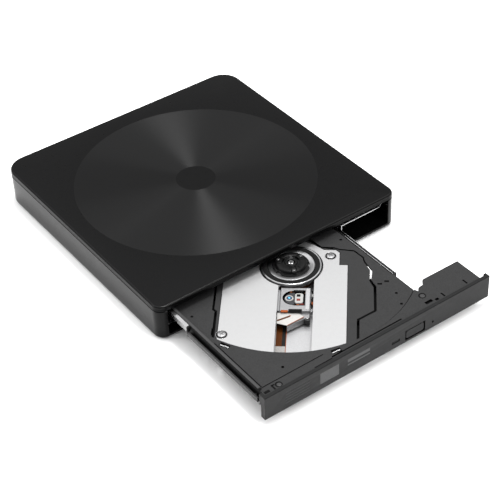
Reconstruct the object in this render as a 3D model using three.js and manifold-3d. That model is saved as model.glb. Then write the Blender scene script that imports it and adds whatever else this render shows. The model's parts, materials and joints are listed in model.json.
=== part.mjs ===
// External slim optical drive: a low square case with a disc tray that is part-way out.
// Millimetres, +Z up. X runs along the front, Y runs to the back, Z = 0 is under the feet.
// The group's origin is the middle of the whole object's footprint, with the tray out.

import * as THREE from 'three';
import { mergeVertices } from 'three/addons/utils/BufferGeometryUtils.js';
import Module from 'manifold-3d';

const wasm = await Module();
wasm.setup();

// ---- Driving dimensions -------------------------------------------------------------------

const gap = 0.3; // clearance between pieces that touch or are cut by each other

// Case
const caseWidth = 140.4;
const caseFront = -0.9;
const caseBack = 142.5;
const caseHeight = 19.5;
const frontCornerRadius = 5;
const rearCornerRadius = 10.5;
const footHeight = 0.9; // how far the feet stand below the shell
const floorTop = 2.5; // inside floor of the lower shell
const shellTop = 16.4; // parting line between shell and cover
const wall = 2;
const coverBevel = 1.1;
const mouthHalf = 65.2; // half width of the front opening

// Drive: a 12.7 mm slim drive, 128 mm wide
const driveHalf = 64.4;
const driveFront = 3.4; // front edge of its sheet metal
const driveBack = 129.2;
const driveBottom = 3.9;
const driveTop = 16.3;
const sheet = 0.5;
const stepX = 39.5; // where the deep part of the pan steps up to the shallow part
const shallowBottom = 10.6;

// Tray, measured in its own frame: x from the bezel's left end, y from the bezel's front face
const bezelLeft = -64;
const bezelWidth = 128.8;
const bezelHeight = 12.7;
const bezelTop = 16.3;
const bezelThick = 1.9;
const trayOut = 73.2; // how far the tray stands out at rest
const trayLength = 118;
const deckTop = 13.7;
const deckBottom = 12.3;
const pocketRadius = 60.2;
const pocketTop = 13.1;
const stripTop = 15.6; // raised strip behind the bezel's left part
const trayLeft = 2.5;
const trayRight = 97.2;

// Spindle, sled and their rods, in a frame turned about the middle of the disc pocket:
// u runs along the sled's path towards the front, v runs across it
const pocketX = 64;
const pocketY = 67;
const pathAngle = 50.3; // degrees between the sled's path and the tray's front
const spindleU = 0.4;
const spindleV = 0.9;
const plateTop = 12.9;
const seatZ = 13.8; // where the underside of a disc rests
const rodZ = 9.2;
const leftRodV = -5.6;
const rightRodV = 17.6;
const screwV = 13.2;
const lensU = 22.2;
const lensV = spindleV; // the lens's path crosses the spindle's axis
const eyeV = 2.7; // middle of the holder's round end
const eyeRadius = 4.1;

// ---- Materials ----------------------------------------------------------------------------

function finish(color, roughness, metalness = 0) {
  return new THREE.MeshStandardMaterial({ color, roughness, metalness });
}

const satinBlack = finish(0x1b1b1b, 0.45);
const glossBlack = finish(0x101010, 0.12);
const trayGrey = finish(0x3c3c3c, 0.6);
const blackPlastic = finish(0x151515, 0.5);
const rubber = finish(0x0e0e0e, 0.85);
const steel = finish(0xb9bbbd, 0.3, 1);
const aluminium = finish(0xe3e4e6, 0.35, 1);
const chrome = finish(0xe8e8ea, 0.08, 1);
const castMetal = finish(0xc4c6c8, 0.4, 1);
const boardGreen = finish(0x1c4a2c, 0.5);
const chipBlack = finish(0x121212, 0.4);
const whitePlastic = finish(0xe4e2da, 0.4);
const lensBlue = finish(0x3f7fd0, 0.05);
const polyimide = finish(0x7a3a12, 0.35);
const clearPlastic = finish(0x2b2b2b, 0.2);

// ---- Solids -------------------------------------------------------------------------------

function box(x0, x1, y0, y1, z0, z1) {
  const geometry = new THREE.BoxGeometry(x1 - x0, y1 - y0, z1 - z0);
  return geometry.translate((x0 + x1) / 2, (y0 + y1) / 2, (z0 + z1) / 2);
}

function cylinder(x, y, z0, z1, radius, sides = 32, topRadius = radius) {
  const geometry = new THREE.CylinderGeometry(topRadius, radius, z1 - z0, sides);
  return geometry.rotateX(Math.PI / 2).translate(x, y, (z0 + z1) / 2);
}

function rodAlongX(x0, x1, y, z, radius, sides = 16) {
  const geometry = new THREE.CylinderGeometry(radius, radius, x1 - x0, sides);
  return geometry.rotateZ(Math.PI / 2).translate((x0 + x1) / 2, y, z);
}

function rodAlongY(x, y0, y1, z, radius, sides = 16) {
  return new THREE.CylinderGeometry(radius, radius, y1 - y0, sides).translate(x, (y0 + y1) / 2, z);
}

function outline(points) {
  return new THREE.Shape(points.map(([x, y]) => new THREE.Vector2(x, y)));
}

// A rectangle with rounded corners; the two at y1 can have a radius of their own.
function roundedOutline(x0, x1, y0, y1, radius, farRadius = radius) {
  const shape = new THREE.Shape();
  shape.moveTo(x0 + radius, y0);
  shape.absarc(x1 - radius, y0 + radius, radius, -Math.PI / 2, 0, false);
  shape.absarc(x1 - farRadius, y1 - farRadius, farRadius, 0, Math.PI / 2, false);
  shape.absarc(x0 + farRadius, y1 - farRadius, farRadius, Math.PI / 2, Math.PI, false);
  shape.absarc(x0 + radius, y0 + radius, radius, Math.PI, 1.5 * Math.PI, false);
  return shape;
}

function slab(shape, z0, z1, curveSegments = 4) {
  const options = { depth: z1 - z0, bevelEnabled: false, curveSegments };
  return new THREE.ExtrudeGeometry(shape, options).translate(0, 0, z0);
}

// A section drawn in X and Z, drawn out along Y from y0 to y1.
function sectionAlongY(points, y0, y1) {
  const options = { depth: y1 - y0, bevelEnabled: false };
  return new THREE.ExtrudeGeometry(outline(points), options).rotateX(Math.PI / 2).translate(0, y1, 0);
}

// A ring or cup turned about a vertical axis, from points of [radius, z] that close on themselves.
function turned(points, x = 0, y = 0, segments = 36) {
  const profile = points.map(([radius, z]) => new THREE.Vector2(radius, z));
  profile.push(profile[0].clone());
  return new THREE.LatheGeometry(profile, segments).rotateX(Math.PI / 2).translate(x, y, 0);
}

function ringAt(x, y, inner, outer, z0, z1, segments = 96) {
  return turned([[inner, z0], [outer, z0], [outer, z1], [inner, z1]], x, y, segments);
}

function toSolid(geometry) {
  const plain = geometry.clone();
  plain.deleteAttribute('normal');
  plain.deleteAttribute('uv');
  const merged = mergeVertices(plain, 1e-4);
  const vertProperties = new Float32Array(merged.attributes.position.array);
  const triVerts = new Uint32Array(merged.index.array);
  return new wasm.Manifold(new wasm.Mesh({ numProp: 3, vertProperties, triVerts }));
}

function toGeometry(solid) {
  const mesh = solid.getMesh();
  const geometry = new THREE.BufferGeometry();
  geometry.setAttribute('position', new THREE.BufferAttribute(mesh.vertProperties, 3));
  geometry.setIndex(new THREE.BufferAttribute(mesh.triVerts, 1));
  return geometry;
}

function join(...pieces) {
  return toGeometry(pieces.map(toSolid).reduce((whole, piece) => whole.add(piece)));
}

function cut(base, ...tools) {
  return toGeometry(tools.map(toSolid).reduce((whole, tool) => whole.subtract(tool), toSolid(base)));
}

function common(first, second) {
  return toGeometry(toSolid(first).intersect(toSolid(second)));
}

// Moves each side of a closed outline outwards by the same distance. Points run anticlockwise.
function grown(points, distance) {
  return points.map((point, i) => {
    const before = points[(i + points.length - 1) % points.length];
    const after = points[(i + 1) % points.length];
    const [ax, ay] = sideNormal(before, point);
    const [bx, by] = sideNormal(point, after);
    const scale = distance / (1 + ax * bx + ay * by);
    return [point[0] + (ax + bx) * scale, point[1] + (ay + by) * scale];
  });
}

function sideNormal([x0, y0], [x1, y1]) {
  const length = Math.hypot(x1 - x0, y1 - y0);
  return [(y1 - y0) / length, (x0 - x1) / length];
}

function part(name, geometry, material) {
  const mesh = new THREE.Mesh(geometry, material);
  mesh.name = name;
  return mesh;
}

// ---- Case ---------------------------------------------------------------------------------

const footPlaces = [
  ['front_left', -55, 16],
  ['front_right', 55, 16],
  ['rear_left', -59, 134.5],
  ['rear_right', 59, 134.5],
];
const footRadius = 5;
const footRecess = 0.5;
const bossTop = 8;
const screwHead = { radius: 2.3, bottom: 1.7, top: 2.7 };
const shankRadius = 1.1;
const rearFeet = footPlaces.filter(([name]) => name.startsWith('rear'));

// USB-C socket in the back wall
const socketX = 20;
const socketZ = 8.2;
const socketWidth = 8.94;
const socketHeight = 3.26;
const socketDepth = 7.3;
const socketMouth = caseBack - 0.4;

// A flat oval bar along Y, as wide as the socket plus a margin on every side.
function socketBar(margin, y0, y1) {
  const radius = socketHeight / 2 + margin;
  const half = socketWidth / 2 - socketHeight / 2;
  const left = rodAlongY(socketX - half, y0, y1, socketZ, radius, 16);
  const right = rodAlongY(socketX + half, y0, y1, socketZ, radius, 16);
  const middle = box(socketX - half, socketX + half, y0, y1, socketZ - radius, socketZ + radius);
  return join(left, right, middle);
}

function caseOutline(inset) {
  const half = caseWidth / 2 - inset;
  const [y0, y1] = [caseFront + inset, caseBack - inset];
  return roundedOutline(-half, half, y0, y1, frontCornerRadius - inset, rearCornerRadius - inset);
}

function lowerShell() {
  const block = slab(caseOutline(0), footHeight, shellTop);
  const hollow = slab(caseOutline(wall), floorTop, shellTop + 1);
  const mouth = box(-mouthHalf, mouthHalf, caseFront - 1, caseFront + wall + 1, floorTop, shellTop + 1);
  let shell = cut(block, hollow, mouth, socketBar(gap, caseBack - 3, caseBack + 1));
  const posts = rearFeet.map(([, x, y]) => cylinder(x, y, floorTop - 0.5, bossTop, 3.6, 20));
  const boardPosts = [-36, 36].map((x) => cylinder(x, 137, floorTop - 0.5, 4.9, 2, 16));
  const ribs = [-48, -12, 24].map((x) => box(x, x + 1.5, 20, 120, floorTop - 0.5, driveBottom - gap));
  shell = join(shell, ...posts, ...boardPosts, ...ribs);
  const recessTop = footHeight + footRecess;
  const recesses = footPlaces.map(([, x, y]) => cylinder(x, y, 0, recessTop, footRadius + gap, 24));
  const { radius, top } = screwHead;
  const headHoles = rearFeet.map(([, x, y]) => cylinder(x, y, 0, top + gap, radius + gap, 20));
  const shankHoles = rearFeet.map(([, x, y]) => cylinder(x, y, 0, bossTop + 1, shankRadius + gap, 16));
  return cut(shell, ...recesses, ...headHoles, ...shankHoles);
}

function topCover() {
  const bevel = {
    depth: caseHeight - shellTop - gap - coverBevel,
    bevelThickness: coverBevel,
    bevelSize: coverBevel * 0.8,
    bevelOffset: -coverBevel * 0.8,
    bevelSegments: 2,
    curveSegments: 4,
  };
  const bottom = shellTop + gap;
  const block = new THREE.ExtrudeGeometry(caseOutline(0), bevel).translate(0, 0, bottom);
  const below = box(-caseWidth, caseWidth, -10, caseBack + 10, 0, bottom);
  const hollow = slab(caseOutline(wall), bottom - 1, caseHeight - 1.6);
  let cover = cut(block, below, hollow);
  const bosses = rearFeet.map(([, x, y]) => cylinder(x, y, bossTop + gap, caseHeight - 1, 3.4, 20));
  cover = join(cover, ...bosses);
  const holes = rearFeet.map(([, x, y]) => cylinder(x, y, bossTop, caseHeight - 3, shankRadius + gap, 16));
  return cut(cover, ...holes);
}

function caseScrew(x, y) {
  const head = cylinder(x, y, screwHead.bottom, screwHead.top, screwHead.radius, 20);
  const shank = cylinder(x, y, screwHead.top - 0.2, caseHeight - 4, shankRadius, 12);
  const drive = cylinder(x, y, screwHead.bottom - 0.1, screwHead.bottom + 0.6, 0.9, 6);
  return cut(join(head, shank), drive);
}

function buildCase() {
  const group = new THREE.Group();
  group.add(part('lower_shell', lowerShell(), glossBlack));
  group.add(part('top_cover', topCover(), satinBlack));
  for (const [name, x, y] of footPlaces) {
    const top = footHeight + footRecess - gap;
    group.add(part(`foot_${name}`, cylinder(x, y, 0, top, footRadius, 24), rubber));
  }
  for (const [name, x, y] of rearFeet) {
    group.add(part(`case_screw_${name}`, caseScrew(x, y), steel));
  }
  return group;
}

// ---- Bridge board with the USB socket and the plug that meets the drive ---------------------

const boardTop = 6.2;

function buildBridge() {
  const group = new THREE.Group();
  const board = box(-40, 40, 130.6, 140.2, boardTop - 1, boardTop - 0.1);
  group.add(part('bridge_board', board, boardGreen));

  const socketBack = socketMouth - socketDepth;
  const shellBody = socketBar(0, socketBack, socketMouth);
  const shellHollow = socketBar(-0.35, socketBack + 0.4, socketMouth + 1);
  group.add(part('usb_socket_shell', cut(shellBody, shellHollow), steel));
  const tongueY = socketBack + 0.4 + gap;
  const tongue = box(socketX - 3.3, socketX + 3.3, tongueY, tongueY + 4.8, socketZ - 0.35, socketZ + 0.35);
  group.add(part('usb_socket_tongue', tongue, blackPlastic));

  group.add(part('bridge_chip', box(-4, 3, 132.4, 139.2, boardTop + 0.1, boardTop + 1), chipBlack));
  const plugBody = box(-38, -10, 130.2, 134.2, boardTop + 0.1, boardTop + 4.4);
  const plugMouth = box(-37, -11, 129, 132.6, boardTop + 1.6, boardTop + 3);
  group.add(part('bridge_sata_plug', cut(plugBody, plugMouth), blackPlastic));
  return group;
}

// ---- Drive chassis ------------------------------------------------------------------------

const bendRadius = 1.6; // bend between the shallow floor and the right side wall

// The sheet-metal section seen from the front: its outer side from the left wall to the right wall,
// and its inner side from the right wall back to the left wall.
function panSection() {
  const top = driveTop - sheet;
  const centre = [driveHalf - bendRadius, shallowBottom + bendRadius];
  const outer = [[-driveHalf, top], [-driveHalf, driveBottom], [stepX, driveBottom]];
  outer.push([stepX, shallowBottom], [centre[0], shallowBottom]);
  const inner = [[centre[0], shallowBottom + sheet], [stepX - sheet, shallowBottom + sheet]];
  inner.push([stepX - sheet, driveBottom + sheet], [sheet - driveHalf, driveBottom + sheet]);
  inner.push([sheet - driveHalf, top]);
  for (const turn of [-60, -30, 0]) {
    const angle = THREE.MathUtils.degToRad(turn);
    const [c, s] = [Math.cos(angle), Math.sin(angle)];
    outer.push([centre[0] + bendRadius * c, centre[1] + bendRadius * s]);
    inner.unshift([centre[0] + (bendRadius - sheet) * c, centre[1] + (bendRadius - sheet) * s]);
  }
  outer.push([driveHalf, top]);
  inner.unshift([driveHalf - sheet, top]);
  return { outer, inner };
}

const driveSocket = { x0: -37.4, x1: -10.6, z0: 6.6, z1: 11.2 };

function chassisPan() {
  const { outer, inner } = panSection();
  const sides = sectionAlongY([...outer, ...inner], driveFront, driveBack);
  const facing = [...inner].reverse();
  const middle = outer.map(([x, z], i) => [(x + facing[i][0]) / 2, (z + facing[i][1]) / 2]);
  const back = sectionAlongY(middle, driveBack - sheet, driveBack);
  const { x0, x1, z0, z1 } = driveSocket;
  const socketHole = box(x0 - gap, x1 + gap, driveBack - 2, driveBack + 1, z0 - gap, z1 + gap);
  return cut(join(sides, back), socketHole);
}

function chassisCover() {
  return box(-driveHalf, driveHalf, driveFront, driveBack, driveTop - sheet + 0.1, driveTop);
}

// A plastic runner on the chassis floor that carries one slide rail.
function railGuide(x0, x1, y0, y1, grooveX0, grooveX1, grooveZ) {
  const body = box(x0, x1, y0, y1, driveBottom + sheet + gap, grooveZ + 1.2);
  const groove = box(grooveX0 - gap, grooveX1 + gap, y0 - 1, y1 + 1, grooveZ - gap, grooveZ + 5);
  return cut(body, groove);
}

function buildChassis() {
  const group = new THREE.Group();
  group.add(part('chassis_pan', chassisPan(), steel));
  group.add(part('chassis_cover', chassisCover(), steel));

  const left = railLeft;
  const leftGuide = railGuide(-63.6, -61.8, 62, 128, left.x0 + bezelLeft, -60, left.z0);
  group.add(part('rail_guide_left', leftGuide, blackPlastic));
  const right = railRight;
  const rightGuide = railGuide(32.9, 38.2, 8, 128, right.x0 + bezelLeft, right.x1 + bezelLeft, right.z0);
  group.add(part('rail_guide_right', rightGuide, blackPlastic));

  const { x0, x1, z0, z1 } = driveSocket;
  const socket = box(x0, x1, 126.4, 129.9, z0, z1);
  const slot = box(x0 + 2, x1 - 2, 128, 131, z0 + 1.6, z0 + 3);
  group.add(part('drive_sata_socket', cut(socket, slot), blackPlastic));
  const boardZ = driveBottom + sheet + gap;
  group.add(part('main_board', box(-58, 30, 98, 126, boardZ, boardZ + 0.8), boardGreen));
  group.add(part('main_chip', box(-20, -6, 106, 120, boardZ + 0.9, boardZ + 2), chipBlack));
  const post = cylinder(latchPost.x, latchPost.y, boardZ, latchPost.top, 1.2, 16);
  group.add(part('latch_post', post, steel));
  group.add(part('tray_ribbon', trayRibbon(), polyimide));
  return group;
}

const latchPost = { x: 26, y: 9.5, top: 5.6 };

// A flat cable laid in a U on the pan floor, from the main board towards the tray.
function trayRibbon() {
  const z = driveBottom + sheet + gap;
  const outerRun = box(-50, -38, 30, 97.6, z, z + 0.2);
  const cross = box(-50, -14, 24, 36, z, z + 0.2);
  const innerRun = box(-26, -14, 24, 60, z, z + 0.2);
  return join(outerRun, cross, innerRun);
}

// ---- Slide rails, in the tray's frame -------------------------------------------------------

const railLeft = { x0: 0.4, x1: 2.2, z0: 12.1, z1: 15, front: 59, length: 100 };
const railRight = { x0: 98, x1: 99.7, z0: 9, z1: 12.8, front: 31.4, length: 100 };

function slideRail({ x0, x1, z0, z1, front, length }, openTop) {
  const bar = box(x0, x1, front, front + length, z0, z1);
  const middle = (x0 + x1) / 2;
  const grooveFloor = openTop ? z1 - 0.8 : z0 + 0.8;
  const groove = openTop
    ? box(middle - 0.3, middle + 0.3, front - 1, front + length + 1, grooveFloor, z1 + 1)
    : box(middle - 0.3, middle + 0.3, front - 1, front + length + 1, z0 - 1, grooveFloor);
  return cut(bar, groove);
}

// ---- Tray ---------------------------------------------------------------------------------

// A point of the traverse's turned frame, in the tray's frame.
function fromTraverse([u, v]) {
  const angle = THREE.MathUtils.degToRad(180 + pathAngle);
  const x = pocketX + u * Math.cos(angle) - v * Math.sin(angle);
  const y = pocketY + u * Math.sin(angle) + v * Math.cos(angle);
  return [x, y];
}

// Outline of the floating traverse cover, in u and v, anticlockwise from the front arc's left end.
const coverOutline = [
  [62, -31.4], [62, 32], [37.3, 32], [31.1, 39.7], [15.2, 39.5], [10.6, 37.5], [2.8, 37.9], [-3, 34.9],
  [-6, 34.4], [-10.7, 30.2], [-11.7, 23.1], [-12.8, 20.7], [-13.1, 14.5], [-18, 10], [-22, 4], [-22, -20],
  [-12, -32.8], [31.6, -32.8], [33, -31.4],
];

// The extra width of the open gaps at the cover's left and right sides.
const sideGaps = [
  [[-12, -33.8], [32.4, -33.8], [33.6, -32.6], [33.6, -31], [-12, -31]],
  [[33.5, -32.6], [62, -32.6], [62, -31], [33.5, -31]],
  [[45, -33], [49.5, -33], [49.5, -31], [45, -31]],
  [
    [62, 31], [62, 33.2], [38, 33.2], [31.8, 40.9], [14.9, 40.8], [10.3, 38.5], [3.1, 38.9], [2.5, 38.5],
    [2.8, 37], [10.6, 36.6], [15.2, 38.9], [30.9, 39.1], [37, 31],
  ],
];

// Ledges that close the seams from below, each with the place of the pillar it hangs from.
const seamLedges = [
  [[[56, 30], [53, 35], [39, 35], [33, 43], [5, 43], [5, 37], [30, 37], [36, 30]], 45, 34.1],
  [[[53, -31], [22, -31], [22, -35.6], [53, -35.6]], 38, -34.8],
];

function trayDeck() {
  const front = bezelThick + gap;
  const points = [[trayLeft, front], [trayLeft, trayLength - 10], [12, trayLength], [86, trayLength]];
  points.push([trayRight, trayLength - 10], [trayRight, railRight.front + 0.6]);
  points.push([99.1, railRight.front - 1.2], [99.1, 20.5], [97.9, 18.6], [97.7, 16.2], [98.5, 13.9]);
  points.push([98.9, 15.4], [100.1, 16.4], [103.1, 16.8], [105.1, 19.6], [126.6, 19.5], [126.6, front]);
  return slab(outline(points.reverse()), deckBottom, deckTop);
}

function trayOpening() {
  const through = (points) => slab(outline(points.map(fromTraverse)), deckBottom - 1, deckTop + 1);
  const hole = through(grown(coverOutline, 0.6));
  const pieces = sideGaps.map(through);
  const disc = cylinder(pocketX, pocketY, deckBottom - 2, deckTop + 2, pocketRadius, 96);
  return common(join(hole, ...pieces), disc);
}

const clipSlots = { left: [6.6, 42.4, 8.4, 37.8], front: [41.9, 7.3, 46.4, 6.4] };
const pinHoles = [[7.4, 65.5], [19.5, 13.2], [94.6, 66.5], [90.1, 20.3], [87.1, 13.2]];
const turnedSlots = [[88.3, 30.0], [92.0, 29.4]]; // two short slots across the sled's path

// The deck's holes, slots and grooves. Most are blind, and stop at blindZ.
function trayHoles() {
  const blindZ = deckTop - 0.9;
  const holes = pinHoles.map(([x, y]) => cylinder(x, y, blindZ, deckTop + 1, 0.7, 12));
  for (const [x0, y0, x1, y1] of Object.values(clipSlots)) {
    const slot = new THREE.BoxGeometry(Math.hypot(x1 - x0, y1 - y0), 2.4, 4);
    slot.rotateZ(Math.atan2(y1 - y0, x1 - x0));
    holes.push(slot.translate((x0 + x1) / 2, (y0 + y1) / 2, deckTop));
  }
  holes.push(box(39.6, 80, 4.5, 5.3, deckBottom - 1, deckTop + 1));
  holes.push(box(95.2, 99.2, 5.2, 6.9, blindZ, deckTop + 1));
  holes.push(box(100.4, 102.2, 4.4, 5.8, blindZ, deckTop + 1));
  holes.push(box(4.7, 5.1, 9, 44, deckTop - 0.6, deckTop + 1));
  holes.push(box(4.7, 38, 8.4, 8.8, deckTop - 0.6, deckTop + 1));
  holes.push(box(119, 119.8, 4.7, 7.8, deckTop - 0.6, deckTop + 1));
  holes.push(box(105.1, 105.9, 4.4, 7.2, deckTop - 0.6, deckTop + 1));
  for (const [x, y] of turnedSlots) {
    const slot = new THREE.BoxGeometry(1.2, 2.2, 1.8).rotateZ(THREE.MathUtils.degToRad(pathAngle));
    holes.push(slot.translate(x, y, deckTop));
  }
  return holes;
}

// A bent metal strip that sits in one of the deck's two slots.
function trayClip([x0, y0, x1, y1]) {
  const half = Math.hypot(x1 - x0, y1 - y0) / 2 - gap;
  const middle = [[-half, -0.25], [-0.5, -0.15], [0.5, 0.15], [half, 0.1]];
  const above = middle.map(([x, y]) => [x, y + 0.25]);
  const below = middle.map(([x, y]) => [x, y - 0.25]).reverse();
  const strip = slab(outline([...above, ...below]), deckTop - 0.9, deckTop - 0.2);
  return strip.rotateZ(Math.atan2(y1 - y0, x1 - x0)).translate((x0 + x1) / 2, (y0 + y1) / 2, 0);
}

function tray() {
  const front = bezelThick + gap;
  const skirtBottom = 8.4;
  const under = deckBottom + 0.4;
  const posts = damperPlaces.flatMap(([, u, v]) => {
    const [x, y] = fromTraverse([u, v]);
    return [cylinder(x, y, 7.9, under, 2.2, 16), cylinder(x, y, 5, under, 0.9, 12)];
  });
  const walls = [
    box(trayLeft, trayLeft + 1, front, trayLength - 11, skirtBottom, deckTop + 1.6),
    box(trayLeft - 0.3, trayLeft + 1, front, trayLength - 11, 13.3, deckTop + 1.6),
    box(trayRight - 1.7, trayRight - 0.6, 8, trayLength - 11, skirtBottom, under),
    box(trayLeft, 95, front, front + 1, 5.4, under),
    box(11, 87, trayLength - 1, trayLength - 0.1, 7.2, under),
    box(trayLeft, 39, front, 6.2, under, stripTop),
    box(railLeft.x0, trayLeft + 0.5, 6, railLeft.front, 9.7, 10.3),
    box(railLeft.x0, railLeft.x0 + 0.8, 6, railLeft.front, 9.7, 12),
  ];
  for (const [points, x, y] of seamLedges) {
    walls.push(slab(outline(points.map(fromTraverse)), 8.4, 9.2));
    walls.push(cylinder(...fromTraverse([x, y]), 8.4, under, 0.8, 10));
  }
  const pocket = cylinder(pocketX, pocketY, pocketTop, deckTop + 5, pocketRadius, 96);
  const stripSlot = box(28.9, 40, front - 1, front + 0.7, stripTop - 0.7, bezelTop + 1);
  const { x0, x1, z1 } = railRight;
  const railRelief = box(x0 - gap, x1 + gap, 8, railRight.front + 1, 5, z1 + gap);
  const rim = ringAt(pocketX, pocketY, pocketRadius - 0.1, pocketRadius + 0.4, deckTop - 0.9, deckTop + 5);
  const whole = join(trayDeck(), ...walls, ...posts);
  return cut(whole, pocket, rim, trayOpening(), stripSlot, railRelief, frontWallHole, ...trayHoles());
}

// ---- Bezel, eject button and what sits behind them ------------------------------------------

const button = { x0: 78.8, x1: 89.3, z0: 5.6, z1: 10.1 };
// Where the button's stem and the light pipe pass the tray's front wall.
const frontWallHole = box(69, 91, 2, 5, 4, 10.8);
const lamp = { x0: 70.6, x1: 74.7, z0: 7.1, z1: 7.9 };
const pinHole = { x: 94.6, z: 7.3, radius: 0.6 };

function bezel() {
  const bottom = bezelTop - bezelHeight;
  const face = box(0, bezelWidth, 0, bezelThick, bottom, bezelTop);
  const leftEnd = box(0, 1.9, 0, 3, bottom, bezelTop - 5.6);
  const leftTopEnd = box(0, 1.6, 0, 4, bezelTop - 5.8, bezelTop);
  const rightEnd = box(bezelWidth - 1.4, bezelWidth, 0, 2.8, bottom + 0.6, bezelTop);
  const edge = new THREE.BoxGeometry(bezelWidth + 2, 1, 1).rotateX(Math.PI / 4);
  const topEdge = edge.clone().translate(bezelWidth / 2, -0.2, bezelTop + 0.2);
  const bottomEdge = edge.clone().translate(bezelWidth / 2, -0.2, bottom - 0.2);
  const around = 0.6;
  const [low, high] = [button.z0 - around, button.z1 + around];
  const buttonHole = box(button.x0 - around, button.x1 + around, -1, 3, low, high);
  const lampHole = box(lamp.x0 - gap, lamp.x1 + gap, -1, 3, lamp.z0 - gap, lamp.z1 + gap);
  const manualHole = rodAlongY(pinHole.x, -1, 3, pinHole.z, pinHole.radius, 12);
  const whole = join(face, leftEnd, leftTopEnd, rightEnd);
  return cut(whole, topEdge, bottomEdge, buttonHole, lampHole, manualHole);
}

function ejectButton() {
  const options = { depth: 1.4, bevelEnabled: false, curveSegments: 4 };
  const shape = roundedOutline(button.x0, button.x1, button.z0, button.z1, 1.2);
  const cap = new THREE.ExtrudeGeometry(shape, options).rotateX(Math.PI / 2).translate(0, 1.5, 0);
  const middleX = (button.x0 + button.x1) / 2;
  const middleZ = (button.z0 + button.z1) / 2;
  const stem = box(middleX - 1, middleX + 1, 1.3, 4.6, middleZ - 1, middleZ + 1);
  return join(cap, stem);
}

const latchInTray = { x: latchPost.x - bezelLeft, y: latchPost.y - caseFront };
const latchPivot = { x: latchInTray.x - 2.8, y: latchInTray.y + 14 };

// The lever that holds the shut tray: its tooth sits behind the post on the chassis floor.
function latchLever() {
  const { x, y } = latchInTray;
  const [low, high] = [4.8, 5.8];
  const arm = box(x - 3.9, x - 1.7, y - 1, y + 14, low, high);
  const tooth = box(x - 2, x + 1.2, y + 1.6, y + 3.4, low, high);
  const eye = cylinder(latchPivot.x, latchPivot.y, low, 7.4, 2.6, 20);
  const bore = cylinder(latchPivot.x, latchPivot.y, 4, 9, 0.9 + gap, 16);
  return cut(join(arm, tooth, eye), bore);
}

function buildFront() {
  const group = new THREE.Group();
  group.add(part('bezel', bezel(), trayGrey));
  const rod = box(lamp.x0, lamp.x1, 0.2, 6, lamp.z0, lamp.z1);
  group.add(part('light_pipe', rod, clearPlastic));
  group.add(part('eject_board', box(66, 94, 6.4, 7.2, 4.8, 11.6), boardGreen));
  const switchBody = box(80.6, 86.6, 5.7, 6.1, 4.8, 10);
  group.add(part('eject_switch', switchBody, chipBlack));
  group.add(part('latch_pivot', cylinder(latchPivot.x, latchPivot.y, 4.9, 12, 0.9, 16), steel));
  return group;
}

// ---- Traverse: spindle motor, sled and rods, in the turned frame ----------------------------

const slot = { u0: 9.5, u1: 62, v0: -4.4, v1: 12.1 }; // the sled's window
const plateOutline = [
  [62, -30.1], [62, 27.4], [-0.5, 27.4], [-0.5, 23.5], [-9.6, 23.5], [-11.4, 21.8], [-11.6, 15.9],
  [-14.3, 12.5], [-16.2, 9.6], [-19, 4], [-19, -18], [-8, -30.1],
];
const plateScrews = [['left', 48.8, -28.2], ['right', -7, 19.3]];
const ringHole = 15.1;

function arcLimit(z0, z1, radius) {
  return cylinder(0, 0, z0, z1, radius, 96);
}

function traversePlate() {
  const sheetMetal = slab(outline(plateOutline), plateTop - 0.5, plateTop);
  const { u0, u1, v0, v1 } = slot;
  const holes = plateScrews.map(([, u, v]) => cylinder(u, v, 5, 20, 1.5, 20));
  holes.push(box(u0, u1, v0, v1, 5, 20), cylinder(spindleU, spindleV, 5, 20, ringHole, 64));
  return cut(common(sheetMetal, arcLimit(5, 20, pocketRadius - gap)), ...holes);
}

function traverseCover() {
  const low = plateTop - 0.5 - gap;
  const base = slab(outline(coverOutline), low - 0.7, low);
  const border = slab(outline(coverOutline), low - 0.1, plateTop);
  const seat = slab(outline(grown(plateOutline, gap)), low, plateTop + 1);
  const { u0, u1, v0, v1 } = slot;
  const window = box(u0 - 1, u1 + 3, v0 - 3.4, v1 + 3.6, 5, 20);
  const hole = cylinder(spindleU, spindleV, 5, 20, ringHole + 0.4, 64);
  const screws = plateScrews.map(([, u, v]) => cylinder(u, v, 5, low + 0.2, 1.1, 16));
  const frame = cut(join(base, cut(border, seat)), window, hole, ...screws);
  return common(frame, arcLimit(5, 20, pocketRadius - gap));
}

function plateScrew(u, v) {
  const head = cylinder(u, v, plateTop + gap - 0.1, plateTop + 0.7, 2.4, 24);
  const shank = cylinder(u, v, 9, plateTop + 0.3, 0.8, 12);
  const slotA = box(u - 1.3, u + 1.3, v - 0.25, v + 0.25, plateTop + 0.4, plateTop + 2);
  const slotB = box(u - 0.25, u + 0.25, v - 1.3, v + 1.3, plateTop + 0.4, plateTop + 2);
  return cut(join(head, shank), slotA, slotB);
}

const baseBottom = 6;
const baseTop = 6.8;
const damperPlaces = [['front_left', 57, -24], ['front_right', 28, 45], ['rear', -22, 10]];

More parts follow.
